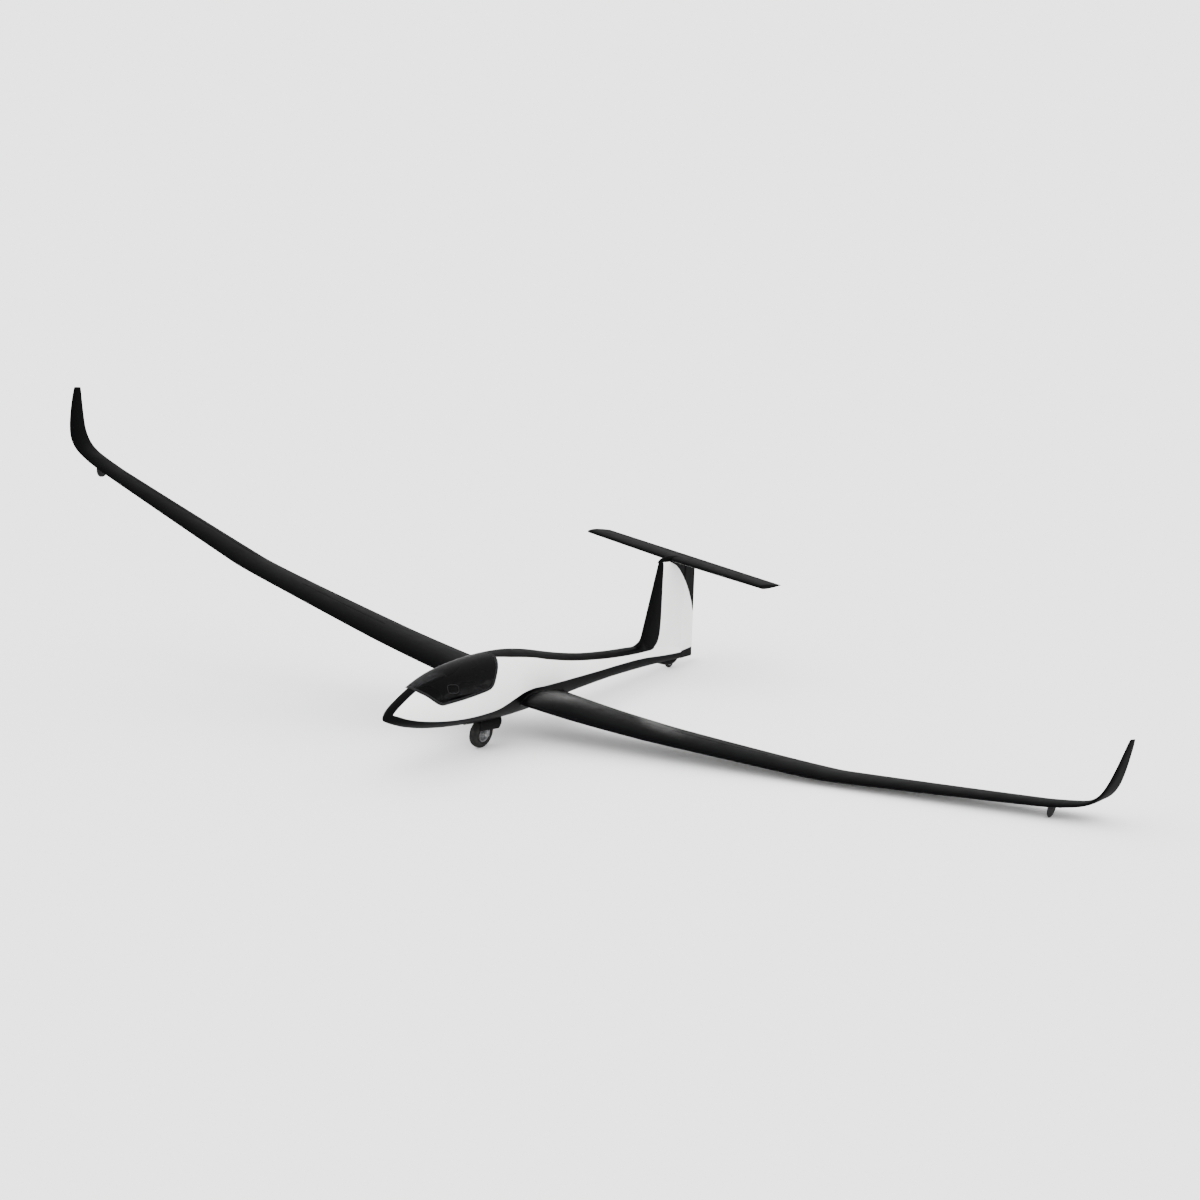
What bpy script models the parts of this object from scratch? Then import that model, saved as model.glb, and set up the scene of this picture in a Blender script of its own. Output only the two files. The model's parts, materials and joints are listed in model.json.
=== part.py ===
"""Single-seat 15 m sailplane with a T-tail and winglets, standing on its wheel, tail wheel and left wing tip.

Every piece is modelled in the airframe's own frame: x to the pilot's left, y from the nose to the tail and
z up, in metres, with the nose tip at y = 0. The last function sets that frame down on its three feet.
"""

import math

import bmesh
import bpy
from mathutils import Matrix, Vector

# Clearances
TOUCH = 0.0003
CLEAR = 0.005

# Fuselage lines: y, top, belly, half width
FUSELAGE_LINES = [
    (0.000, -0.090, -0.104, 0.008),
    (0.015, -0.062, -0.124, 0.028),
    (0.050, -0.022, -0.140, 0.050),
    (0.110, 0.026, -0.160, 0.078),
    (0.210, 0.090, -0.188, 0.116),
    (0.350, 0.176, -0.221, 0.160),
    (0.550, 0.278, -0.253, 0.210),
    (0.800, 0.366, -0.278, 0.253),
    (1.100, 0.434, -0.294, 0.285),
    (1.450, 0.486, -0.299, 0.304),
    (1.800, 0.518, -0.297, 0.311),
    (2.200, 0.526, -0.283, 0.304),
    (2.600, 0.494, -0.252, 0.276),
    (3.000, 0.436, -0.205, 0.238),
    (3.400, 0.382, -0.150, 0.206),
    (3.900, 0.336, -0.085, 0.178),
    (4.500, 0.318, -0.018, 0.153),
    (5.100, 0.320, 0.027, 0.131),
    (5.600, 0.298, 0.055, 0.108),
    (6.000, 0.264, 0.068, 0.087),
    (6.300, 0.238, 0.074, 0.071),
]
WIDEST_HEIGHT = 0.47
SECTION_POWER = 2.15
FUSELAGE_POINTS = 32
SHELL_WALL = 0.012
SPLIT_Y = 2.200

# Cockpit
CAVITY_FRONT = 0.130
CAVITY_REAR = 2.020
SEAT_BULKHEAD = 1.680
SHELF_HEIGHT = 0.150
CANOPY_OUTLINE = [
    (0.385, 0.700), (0.385, 0.236), (0.430, 0.197), (0.480, 0.175), (0.525, 0.152), (0.575, 0.122),
    (0.630, 0.092), (0.690, 0.067), (0.745, 0.057), (0.850, 0.073), (1.075, 0.105), (1.300, 0.141),
    (1.480, 0.172), (1.550, 0.190), (1.605, 0.228), (1.680, 0.342), (1.765, 0.444), (1.835, 0.512),
    (1.900, 0.575), (1.900, 0.700),
]
CANOPY_HINGE = (0.0, 0.430, 0.238)
FRAME_WIDTH = 0.032
FRAME_DEPTH = 0.020
GLASS_DEPTH = 0.005
SEAT_LINE = [
    (0.930, -0.150), (1.060, -0.205), (1.200, -0.232), (1.320, -0.222), (1.440, -0.120), (1.560, 0.020),
    (1.650, 0.130),
]
PAN_THICKNESS = 0.012
CUSHION_THICKNESS = 0.030
LEVER_RADIUS = 0.009

# Wing: x, leading edge y, leading edge z
WING_LINE = [
    (0.345, 2.245, -0.048),
    (1.000, 2.240, -0.013),
    (1.600, 2.233, 0.035),
    (2.100, 2.226, 0.084),
    (3.500, 2.203, 0.256),
    (4.100, 2.190, 0.335),
    (4.380, 2.183, 0.382),
    (6.720, 2.112, 0.915),
    (7.000, 2.102, 0.992),
]
ROOT_CHORD = 1.020
KINK_CHORD = 0.666
TIP_CHORD = 0.355
KINK_X = 3.414
TIP_X = 7.495
ROOT_THICKNESS = 0.150
TIP_THICKNESS = 0.125
CAMBER = 0.028
WING_TWIST = math.radians(2.24)
FOIL_POINTS = 11

# Winglet: x, leading edge y, leading edge z, chord, lean from level in degrees
WINGLET_LINE = [
    (7.000, 2.102, 0.992, 0.393, 18.0),
    (7.190, 2.096, 1.066, 0.380, 26.0),
    (7.310, 2.092, 1.142, 0.366, 42.0),
    (7.390, 2.090, 1.240, 0.345, 60.0),
    (7.440, 2.092, 1.370, 0.312, 74.0),
    (7.478, 2.102, 1.540, 0.262, 80.0),
    (7.506, 2.118, 1.720, 0.200, 83.0),
    (7.525, 2.142, 1.865, 0.135, 85.0),
    (7.527, 2.165, 1.882, 0.085, 85.0),
]
WINGLET_THICKNESS = 0.110
WINGLET_TWIST = math.radians(-5.0)

# Ailerons, airbrakes and tip skids
AILERON_INNER = 4.420
AILERON_OUTER = 6.680
HINGE_SHARE = 0.780
AIRBRAKE_INNER = 2.150
AIRBRAKE_OUTER = 3.450
AIRBRAKE_SHARE = 0.480
BLADE_HEIGHT = 0.066
SKID_X = 6.880
SKID_DEPTH = 0.130

# Tail
FIN_LE = [(0.150, 5.190), (1.430, 5.236)]
HINGE_LINE = [(0.085, 6.265), (1.385, 5.888)]
RUDDER_TE = [(0.085, 6.605), (1.385, 6.162)]
RUDDER_NOSE = [(0.085, 0.044), (1.385, 0.030)]
FIN_THICKNESS = 0.105
STAB_HALF_SPAN = 1.350
STAB_HEIGHT = 1.476
STAB_LE_ROOT = 5.450
STAB_LE_TIP = 5.545
STAB_TE = 6.090
ELEVATOR_HINGE = 5.930
STAB_THICKNESS = 0.105

# Undercarriage
WHEEL_RADIUS = 0.180
WHEEL_CENTRE = (0.0, 1.980, -0.480)
TYRE_HALF_WIDTH = 0.062
RIM_RADIUS = 0.098
AXLE_RADIUS = 0.011
LEG_X = 0.083
LEG_RADIUS = 0.012
BOSS_X = 0.069
WELL_HALF_WIDTH = 0.105
WELL_FRONT = 1.740
WELL_REAR = 2.170
WELL_TOP = -0.040
DOOR_DEPTH = 0.135
DOOR_THICKNESS = 0.006
TAIL_WHEEL_RADIUS = 0.085
TAIL_WHEEL_CENTRE = (0.0, 6.060, 0.048)
TAIL_TYRE_HALF_WIDTH = 0.024
TAIL_RIM_RADIUS = 0.050
TAIL_AXLE_RADIUS = 0.006
TAIL_SLOT_HALF_WIDTH = 0.031
WHEEL_SIDES = 48

AIRFRAME = "sailplane_glider"
CUTTERS = "cutters"


# Scene, collections and materials


def clear_scene():
    for item in list(bpy.data.objects):
        bpy.data.objects.remove(item, do_unlink=True)


def new_collection(name):
    group = bpy.data.collections.new(name)
    bpy.context.scene.collection.children.link(group)
    return group


def make_material(name, colour, roughness, metallic=0.0, alpha=1.0):
    finish = bpy.data.materials.new(name)
    finish.use_nodes = True
    shader = finish.node_tree.nodes["Principled BSDF"]
    shader.inputs["Base Color"].default_value = (*colour, 1.0)
    shader.inputs["Roughness"].default_value = roughness
    shader.inputs["Metallic"].default_value = metallic
    shader.inputs["Alpha"].default_value = alpha
    return finish


def make_materials():
    return {
        "white": make_material("white_gelcoat", (0.86, 0.86, 0.84), 0.25),
        "black": make_material("black_gelcoat", (0.012, 0.012, 0.014), 0.25),
        "glass": make_material("tinted_glass", (0.02, 0.02, 0.025), 0.05, 0.0, 0.4),
        "dark": make_material("dark_plastic", (0.03, 0.03, 0.032), 0.5),
        "grey": make_material("grey_laminate", (0.36, 0.37, 0.38), 0.6),
        "fabric": make_material("grey_fabric", (0.12, 0.13, 0.15), 0.9),
        "steel": make_material("grey_steel", (0.42, 0.43, 0.45), 0.4, 0.8),
        "rubber": make_material("tyre_rubber", (0.02, 0.02, 0.02), 0.85),
        "blue": make_material("blue_handle", (0.02, 0.10, 0.55), 0.4),
    }


# Building blocks


def add_object(name, mesh, finish, group=AIRFRAME):
    item = bpy.data.objects.new(name, mesh)
    bpy.data.collections[group].objects.link(item)
    item.parent = bpy.data.objects["airframe_datum"]
    if finish:
        mesh.materials.clear()
        mesh.materials.append(finish)
    if group == CUTTERS:
        item.hide_render = True
        item.display_type = "WIRE"
    return item


def add_loft(name, rings, finish, group=AIRFRAME):
    """A closed solid through rings that all have the same number of points."""
    form = bmesh.new()
    loops = [[form.verts.new(point) for point in ring] for ring in rings]
    count = len(rings[0])
    for near, far in zip(loops, loops[1:]):
        for step in range(count):
            following = (step + 1) % count
            form.faces.new((near[step], near[following], far[following], far[step]))
    form.faces.new(loops[0])
    form.faces.new(loops[-1])
    bmesh.ops.recalc_face_normals(form, faces=form.faces)
    mesh = bpy.data.meshes.new(name)
    form.to_mesh(mesh)
    form.free()
    return add_object(name, mesh, finish, group)


def add_box(name, low, high, finish, group=AIRFRAME, rounding=0.0):
    form = bmesh.new()
    bmesh.ops.create_cube(form, size=1.0)
    low = Vector(low)
    high = Vector(high)
    for vert in form.verts:
        vert.co = [low[i] + (vert.co[i] + 0.5) * (high[i] - low[i]) for i in range(3)]
    mesh = bpy.data.meshes.new(name)
    form.to_mesh(mesh)
    form.free()
    item = add_object(name, mesh, finish, group)
    if rounding:
        bevel = item.modifiers.new("rounding", "BEVEL")
        bevel.width = rounding
        bevel.segments = 3
    return item


def add_rod(name, start, end, radius, finish, sides=16, group=AIRFRAME, tip_radius=None):
    """A round bar, or a tapered one, between two points."""
    start = Vector(start)
    end = Vector(end)
    form = bmesh.new()
    bmesh.ops.create_cone(
        form, cap_ends=True, segments=sides, radius1=radius, radius2=tip_radius or radius,
        depth=(end - start).length,
    )
    turn = Vector((0, 0, 1)).rotation_difference(end - start).to_matrix().to_4x4()
    bmesh.ops.transform(form, matrix=Matrix.Translation((start + end) / 2) @ turn, verts=form.verts)
    mesh = bpy.data.meshes.new(name)
    form.to_mesh(mesh)
    form.free()
    return add_object(name, mesh, finish, group)


def add_tube(name, points, radius, finish):
    """A bent bar on a poly line, made a mesh with its caps welded."""
    line = bpy.data.curves.new(name, "CURVE")
    line.dimensions = "3D"
    line.bevel_depth = radius
    line.bevel_resolution = 2
    line.use_fill_caps = True
    run = line.splines.new("POLY")
    run.points.add(len(points) - 1)
    for knot, point in zip(run.points, points):
        knot.co = (*point, 1.0)
    return curve_to_mesh(name, line, Matrix.Identity(4), finish)


def add_plate(name, outline, thickness, placing, finish, group=AIRFRAME):
    """A flat outline given a thickness, its own x and y axes turned by placing."""
    line = bpy.data.curves.new(name, "CURVE")
    line.dimensions = "2D"
    line.fill_mode = "BOTH"
    line.extrude = thickness / 2
    run = line.splines.new("POLY")
    run.points.add(len(outline) - 1)
    for knot, point in zip(run.points, outline):
        knot.co = (*point, 0.0, 1.0)
    run.use_cyclic_u = True
    return curve_to_mesh(name, line, placing, finish, group)


def curve_to_mesh(name, line, placing, finish, group=AIRFRAME):
    guide = bpy.data.objects.new(name + "_curve", line)
    bpy.context.scene.collection.objects.link(guide)
    bpy.context.view_layer.update()
    solid = guide.evaluated_get(bpy.context.evaluated_depsgraph_get())
    mesh = bpy.data.meshes.new_from_object(solid)
    form = bmesh.new()
    form.from_mesh(mesh)
    bmesh.ops.remove_doubles(form, verts=form.verts, dist=0.00001)
    bmesh.ops.transform(form, matrix=placing, verts=form.verts)
    bmesh.ops.recalc_face_normals(form, faces=form.faces)
    form.to_mesh(mesh)
    form.free()
    bpy.data.objects.remove(guide, do_unlink=True)
    return add_object(name, mesh, finish, group)


def add_turned(name, profile, centre, finish, sides=WHEEL_SIDES):
    """A closed profile of (radius, offset along x) turned round an axle that lies along x."""
    form = bmesh.new()
    knots = [form.verts.new((radius, 0.0, along)) for radius, along in profile]
    for step in range(len(knots)):
        form.edges.new((knots[step], knots[(step + 1) % len(knots)]))
    mesh = bpy.data.meshes.new(name)
    form.to_mesh(mesh)
    form.free()
    item = add_object(name, mesh, finish)
    screw = item.modifiers.new("turning", "SCREW")
    screw.steps = sides
    screw.render_steps = sides
    screw.use_merge_vertices = True
    screw.merge_threshold = 0.00001
    settle_mesh(item)
    form = bmesh.new()
    form.from_mesh(item.data)
    bmesh.ops.recalc_face_normals(form, faces=form.faces)
    bmesh.ops.transform(form, matrix=Matrix.Rotation(math.pi / 2, 4, "Y"), verts=form.verts)
    form.to_mesh(item.data)
    form.free()
    item.location = centre
    return item


def combine(item, tool, operation):
    change = item.modifiers.new(operation.lower(), "BOOLEAN")
    change.operation = operation
    change.object = tool
    change.solver = "EXACT"
    return item


def settle_mesh(item):
    """The object's modifiers become its mesh, so that it can be cut, mirrored or given an origin."""
    bpy.context.view_layer.update()
    solid = item.evaluated_get(bpy.context.evaluated_depsgraph_get())
    mesh = bpy.data.meshes.new_from_object(solid)
    item.modifiers.clear()
    item.data = mesh
    return item


def remove(*items):
    for item in items:
        bpy.data.objects.remove(item, do_unlink=True)


def set_origin(item, point):
    item.data.transform(Matrix.Translation(-Vector(point)))
    item.location = point
    return item


def mirror_piece(item, name):
    """The same piece on the other side of the plane of symmetry."""
    mesh = item.data.copy()
    mesh.name = name
    form = bmesh.new()
    form.from_mesh(mesh)
    bmesh.ops.transform(form, matrix=Matrix.Diagonal((-1, 1, 1, 1)), verts=form.verts)
    bmesh.ops.reverse_faces(form, faces=form.faces)
    form.to_mesh(mesh)
    form.free()
    twin = add_object(name, mesh, None)
    place = item.location
    twin.location = (-place.x, place.y, place.z)
    return twin


def shade(item, angle=35.0):
    item.data.shade_smooth()
    item.data.set_sharp_from_angle(angle=math.radians(angle))


# Lines and sections


def on_line(line, position, column=1):
    """A value read from a list of rows by straight steps between them."""
    for low, high in zip(line, line[1:]):
        if position <= high[0] or high is line[-1]:
            share = (position - low[0]) / (high[0] - low[0])
            return low[column] + share * (high[column] - low[column])


def fuselage_line(y, column):
    """A value on a smooth curve through the fuselage lines."""
    rows = FUSELAGE_LINES
    index = 0
    while index < len(rows) - 2 and y > rows[index + 1][0]:
        index += 1
    before = rows[max(index - 1, 0)]
    low = rows[index]
    high = rows[index + 1]
    after = rows[min(index + 2, len(rows) - 1)]
    width = high[0] - low[0]
    share = (y - low[0]) / width
    slope_low = (high[column] - before[column]) / (high[0] - before[0]) * width
    slope_high = (after[column] - low[column]) / (after[0] - low[0]) * width
    square = share * share
    cube = square * share
    return (
        (2 * cube - 3 * square + 1) * low[column]
        + (cube - 2 * square + share) * slope_low
        + (3 * square - 2 * cube) * high[column]
        + (cube - square) * slope_high
    )


def fuselage_ring(y, inset=0.0):
    top = fuselage_line(y, 1) - inset
    belly = fuselage_line(y, 2) + inset
    half_width = fuselage_line(y, 3) - inset
    middle = belly + WIDEST_HEIGHT * (top - belly)
    ring = []
    for step in range(FUSELAGE_POINTS):
        angle = 2 * math.pi * step / FUSELAGE_POINTS
        side = math.cos(angle)
        rise = math.sin(angle)
        x = half_width * math.copysign(abs(side) ** (2 / SECTION_POWER), side)
        height = (top - middle) if rise > 0 else (middle - belly)
        z = middle + height * math.copysign(abs(rise) ** (2 / SECTION_POWER), rise)
        ring.append((x, y, z))
    return ring


def wall_x(y, z, inset):
    """Half the inside width of the fuselage at a height."""
    top = fuselage_line(y, 1) - inset
    belly = fuselage_line(y, 2) + inset
    half_width = fuselage_line(y, 3) - inset
    middle = belly + WIDEST_HEIGHT * (top - belly)
    height = (top - middle) if z > middle else (middle - belly)
    share = min(abs(z - middle) / height, 1.0)
    return half_width * (1 - share ** SECTION_POWER) ** (1 / SECTION_POWER)


def foil_half_thickness(share, thickness):
    root = math.sqrt(share)
    curve = 0.2969 * root - 0.1260 * share - 0.3516 * share**2 + 0.2843 * share**3 - 0.1016 * share**4
    return 5 * thickness * curve


def foil_shares():
    return [(1 - math.cos(math.pi * step / FOIL_POINTS)) / 2 for step in range(FOIL_POINTS + 1)]


def foil_point(edge, chord, thickness, camber, lean, twist, share, side):
    """A point on a wing section: share of the chord, and side 1 above or -1 below."""
    normal = Vector((-math.sin(lean), 0.0, math.cos(lean)))
    aft = Vector((0.0, math.cos(twist), 0.0)) + normal * math.sin(twist)
    rise = 4 * camber * share * (1 - share) + side * foil_half_thickness(share, thickness)
    return Vector(edge) + chord * (aft * share + normal * rise)


def foil_ring(edge, chord, thickness, camber, lean, twist):
    shares = foil_shares()
    upper = [foil_point(edge, chord, thickness, camber, lean, twist, s, 1) for s in reversed(shares)]
    lower = [foil_point(edge, chord, thickness, camber, lean, twist, s, -1) for s in shares[1:]]
    return upper + lower


def wing_chord(x):
    return on_line([(0.0, ROOT_CHORD), (KINK_X, KINK_CHORD), (TIP_X, TIP_CHORD)], x)


def wing_thickness(x):
    return on_line([(0.0, ROOT_THICKNESS), (TIP_X, TIP_THICKNESS)], x)


def wing_lean(index):
    """The lean of a wing section: upright at the root rib, else the mean of the runs on both sides."""
    if index == 0:
        return 0.0
    rows = WING_LINE
    slopes = [math.atan2(b[2] - a[2], b[0] - a[0]) for a, b in zip(rows, rows[1:])]
    inner = slopes[max(index - 1, 0)]
    outer = slopes[min(index, len(slopes) - 1)]
    return (inner + outer) / 2


def wing_station(index):
    x, y, z = WING_LINE[index]
    return ((x, y, z), wing_chord(x), wing_thickness(x), CAMBER, wing_lean(index), WING_TWIST)


def wing_surface(x, share, side):
    """A point on the wing's skin between its stations."""
    index = 0
    while index < len(WING_LINE) - 2 and x > WING_LINE[index + 1][0]:
        index += 1
    near = foil_point(*wing_station(index), share, side)
    far = foil_point(*wing_station(index + 1), share, side)
    fraction = (x - WING_LINE[index][0]) / (WING_LINE[index + 1][0] - WING_LINE[index][0])
    return near.lerp(far, fraction)


def panel_directions(inner_x, outer_x, share):
    """The unit vectors outward along a wing panel and up from it."""
    inner = wing_surface(inner_x, share, 1)
    outer = wing_surface(outer_x, share, 1)
    lean = math.atan2(outer.z - inner.z, outer.x - inner.x)
    outward = Vector((math.cos(lean), 0.0, math.sin(lean)))
    up = Vector((-math.sin(lean), 0.0, math.cos(lean)))
    return outward, up


def prism_rings(outline, half_width):
    """A side-view outline in y and z carried across the fuselage."""
    return [[(side * half_width, y, z) for y, z in outline] for side in (-1, 1)]


def shrink_outline(outline, distance):
    """A closed outline moved inward by a distance, corner by corner."""
    count = len(outline)
    area = sum(outline[i - 1][0] * outline[i][1] - outline[i][0] * outline[i - 1][1] for i in range(count))
    turn = 1 if area > 0 else -1
    moved = []
    for index in range(count):
        here = Vector(outline[index])
        before = (here - Vector(outline[index - 1])).normalized()
        after = (Vector(outline[(index + 1) % count]) - here).normalized()
        bisector = Vector((-before.y - after.y, before.x + after.x)).normalized() * turn
        inward = Vector((-before.y, before.x)) * turn
        moved.append(tuple(here + bisector * distance / max(bisector.dot(inward), 0.3)))
    return moved


# Fuselage


def shell_rings(start, end, inset=0.0):
    """Rings between two stations: the ends and every fuselage line between them."""
    middle = [row[0] for row in FUSELAGE_LINES if start + 0.005 < row[0] < end - 0.005]
    return [fuselage_ring(y, inset) for y in [start, *middle, end]]


def make_cockpit_shell(finish):
    shell = add_loft("cockpit_shell", shell_rings(0.0, SPLIT_Y), finish["white"])
    cavity = add_loft("cavity", shell_rings(CAVITY_FRONT, CAVITY_REAR, SHELL_WALL), None, CUTTERS)
    block = add_box(
        "bulkhead_block", (-0.5, SEAT_BULKHEAD, -0.6), (0.5, CAVITY_REAR + 0.1, SHELF_HEIGHT), None, CUTTERS
    )
    settle_mesh(combine(cavity, block, "DIFFERENCE"))
    opening = add_loft("canopy_opening", prism_rings(CANOPY_OUTLINE, 0.6), None, CUTTERS)
    well = add_box(
        "wheel_well", (-WELL_HALF_WIDTH, WELL_FRONT, -0.5), (WELL_HALF_WIDTH, WELL_REAR, WELL_TOP), None, CUTTERS
    )
    for tool in (cavity, opening, well):
        combine(shell, tool, "DIFFERENCE")
    settle_mesh(shell)
    shade(shell)
    remove(cavity, block, opening, well)


def make_canopy(finish):
    edge = shrink_outline(CANOPY_OUTLINE, CLEAR)
    inner_edge = shrink_outline(CANOPY_OUTLINE, CLEAR + FRAME_WIDTH)
    glass_edge = shrink_outline(CANOPY_OUTLINE, CLEAR + FRAME_WIDTH + TOUCH)
    for name, outline, hole, depth, look in (
        ("canopy_frame", edge, inner_edge, FRAME_DEPTH, "black"),
        ("canopy_glass", glass_edge, None, GLASS_DEPTH, "glass"),
    ):
        piece = add_loft(name, shell_rings(0.200, 2.150), finish[look])
        core = add_loft("core", shell_rings(0.150, 2.180, depth), None, CUTTERS)
        keep = add_loft("keep", prism_rings(outline, 0.6), None, CUTTERS)
        combine(piece, core, "DIFFERENCE")
        combine(piece, keep, "INTERSECT")
        tools = [core, keep]
        if hole:
            window = add_loft("window", prism_rings(hole, 0.7), None, CUTTERS)
            combine(piece, window, "DIFFERENCE")
            tools.append(window)
        settle_mesh(piece)
        remove(*tools)
        set_origin(piece, CANOPY_HINGE)
        shade(piece)


def boom_end_outline():
    """Side view of what is cut from the boom and fin to leave room for the rudder's round nose."""
    lines = []
    for height in (-0.2, 1.7):
        hinge = on_line(HINGE_LINE, height)
        nose = on_line(RUDDER_NOSE, height)
        lines.append((hinge - nose - CLEAR - 0.001, height))
    return [lines[0], lines[1], (7.2, 1.7), (7.2, -0.2)]


def make_rear_fuselage(finish):
    body = add_loft("rear_fuselage", shell_rings(SPLIT_Y + TOUCH, 6.295), finish["white"])
    station = wing_station(0)
    edge = Vector(station[0])
    stub_rings = []
    for side in (-1, 1):
        place = (side * (edge.x - TOUCH), edge.y, edge.z)
        stub_rings.append(foil_ring(place, *station[1:4], 0.0, WING_TWIST))
    stub = add_loft("wing_stub", stub_rings, None, CUTTERS)
    end = add_loft("boom_end", prism_rings(boom_end_outline(), 0.5), None, CUTTERS)
    x, y, z = TAIL_WHEEL_CENTRE
    reach = TAIL_WHEEL_RADIUS + 0.010
    slot = add_box(
        "tail_slot", (-TAIL_SLOT_HALF_WIDTH, y - reach, -0.2), (TAIL_SLOT_HALF_WIDTH, y + reach, z + reach),
        None, CUTTERS,
    )
    combine(body, stub, "UNION")
    combine(body, end, "DIFFERENCE")
    combine(body, slot, "DIFFERENCE")
    settle_mesh(body)
    shade(body)
    remove(stub, end, slot)


def make_tail_wheel_fairing(finish):
    rows = [
        (5.700, 0.060, 0.006), (5.780, 0.040, 0.022), (5.900, 0.016, 0.036), (6.040, -0.002, 0.042),
        (6.140, 0.012, 0.040), (6.190, 0.046, 0.034), (6.205, 0.064, 0.028),
    ]
    rings = []
    for y, bottom, half_width in rows:
        top = 0.110
        middle = (top + bottom) / 2
        height = (top - bottom) / 2
        ring = []
        for step in range(20):
            angle = 2 * math.pi * step / 20
            ring.append((half_width * math.cos(angle), y, middle + height * math.sin(angle)))
        rings.append(ring)
    fairing = add_loft("tail_wheel_fairing", rings, finish["white"])
    boom = add_loft("boom_margin", shell_rings(5.500, 6.295, -TOUCH), None, CUTTERS)
    x, y, z = TAIL_WHEEL_CENTRE
    reach = TAIL_WHEEL_RADIUS + 0.006
    slot = add_box(
        "fairing_slot", (-TAIL_SLOT_HALF_WIDTH, y - reach, -0.3), (TAIL_SLOT_HALF_WIDTH, y + reach, 0.3),
        None, CUTTERS,
    )
    combine(fairing, boom, "DIFFERENCE")
    combine(fairing, slot, "DIFFERENCE")
    settle_mesh(fairing)
    shade(fairing)
    remove(boom, slot)


# Wings


def make_wing(finish):
    rings = [foil_ring(*wing_station(index)) for index in range(len(WING_LINE))]
    wing = add_loft("wing_left", rings, finish["black"])
    bay = add_loft("aileron_bay", aileron_bay_rings(), None, CUTTERS)
    slot = add_loft("airbrake_slot", airbrake_slot_rings(), None, CUTTERS)
    combine(wing, bay, "DIFFERENCE")
    combine(wing, slot, "DIFFERENCE")
    settle_mesh(wing)
    remove(bay, slot)
    shade(wing)
    shade(mirror_piece(wing, "wing_right"))


def aileron_hinge(x):
    """The middle of the wing's thickness at the hinge line, and half that thickness."""
    upper = wing_surface(x, HINGE_SHARE, 1)
    lower = wing_surface(x, HINGE_SHARE, -1)
    return (upper + lower) / 2, (upper - lower).length / 2


def aileron_bay_rings():
    outward, up = panel_directions(AILERON_INNER, AILERON_OUTER, HINGE_SHARE)
    aft = Vector((0.0, 1.0, 0.0))
    rings = []
    for x, shift in ((AILERON_INNER, -CLEAR), (AILERON_OUTER, CLEAR)):
        centre, radius = aileron_hinge(x)
        centre = centre + outward * shift
        front = centre - aft * (radius + CLEAR + 0.001)
        back = centre + aft * 0.4
        rings.append([front - up * 0.1, back - up * 0.1, back + up * 0.1, front + up * 0.1])
    return rings


def aileron_ring(x):
    centre, radius = aileron_hinge(x)
    outward, up = panel_directions(AILERON_INNER, AILERON_OUTER, HINGE_SHARE)
    aft = Vector((0.0, 1.0, 0.0))
    shares = [0.80, 0.86, 0.93, 1.0]
    lower = [wing_surface(x, share, -1) for share in shares]
    upper = [wing_surface(x, share, 1) for share in reversed(shares)]
    nose = []
    for step in range(7):
        angle = math.pi / 2 + math.pi * step / 6
        nose.append(centre + radius * (aft * math.cos(angle) + up * math.sin(angle)))
    return lower + upper + nose


def make_ailerons(finish):
    outward, up = panel_directions(AILERON_INNER, AILERON_OUTER, HINGE_SHARE)
    rings = [aileron_ring(AILERON_INNER), aileron_ring(AILERON_OUTER)]
    aileron = add_loft("aileron_left", rings, finish["black"])
    set_origin(aileron, aileron_hinge(AILERON_INNER)[0])
    shade(aileron)
    shade(mirror_piece(aileron, "aileron_right"))


def airbrake_section(x, half_width, depth, rise):
    """Four corners of a box section that hangs from the wing's upper skin."""
    outward, up = panel_directions(AIRBRAKE_INNER, AIRBRAKE_OUTER, AIRBRAKE_SHARE)
    aft = Vector((0.0, 1.0, 0.0))
    skin = wing_surface(x, AIRBRAKE_SHARE, 1)
    corners = [(-half_width, -depth), (half_width, -depth), (half_width, rise), (-half_width, rise)]
    return [skin + aft * across + up * height for across, height in corners]


def airbrake_slot_rings():
    outward, up = panel_directions(AIRBRAKE_INNER, AIRBRAKE_OUTER, AIRBRAKE_SHARE)
    rings = []
    for x, shift in ((AIRBRAKE_INNER, -CLEAR), (AIRBRAKE_OUTER, CLEAR)):
        section = airbrake_section(x, 0.018, BLADE_HEIGHT + CLEAR + 0.001, 0.03)
        rings.append([corner + outward * shift for corner in section])
    return rings


def make_airbrakes(finish):
    """A blade with a cap strip that closes its slot, as one T section."""
    outward, up = panel_directions(AIRBRAKE_INNER, AIRBRAKE_OUTER, AIRBRAKE_SHARE)
    aft = Vector((0.0, 1.0, 0.0))
    cap = 0.0125
    web = 0.004
    strip = 0.004
    recess = 0.0005
    profile = [
        (-web, -BLADE_HEIGHT), (web, -BLADE_HEIGHT), (web, -strip), (cap, -strip),
        (cap, -recess), (-cap, -recess), (-cap, -strip), (-web, -strip),
    ]
    rings = []
    for x in (AIRBRAKE_INNER, AIRBRAKE_OUTER):
        skin = wing_surface(x, AIRBRAKE_SHARE, 1)
        rings.append([skin + aft * across + up * height for across, height in profile])
    blade = add_loft("airbrake_left", rings, finish["black"])
    set_origin(blade, wing_surface(AIRBRAKE_INNER, AIRBRAKE_SHARE, 1))
    mirror_piece(blade, "airbrake_right")


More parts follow.
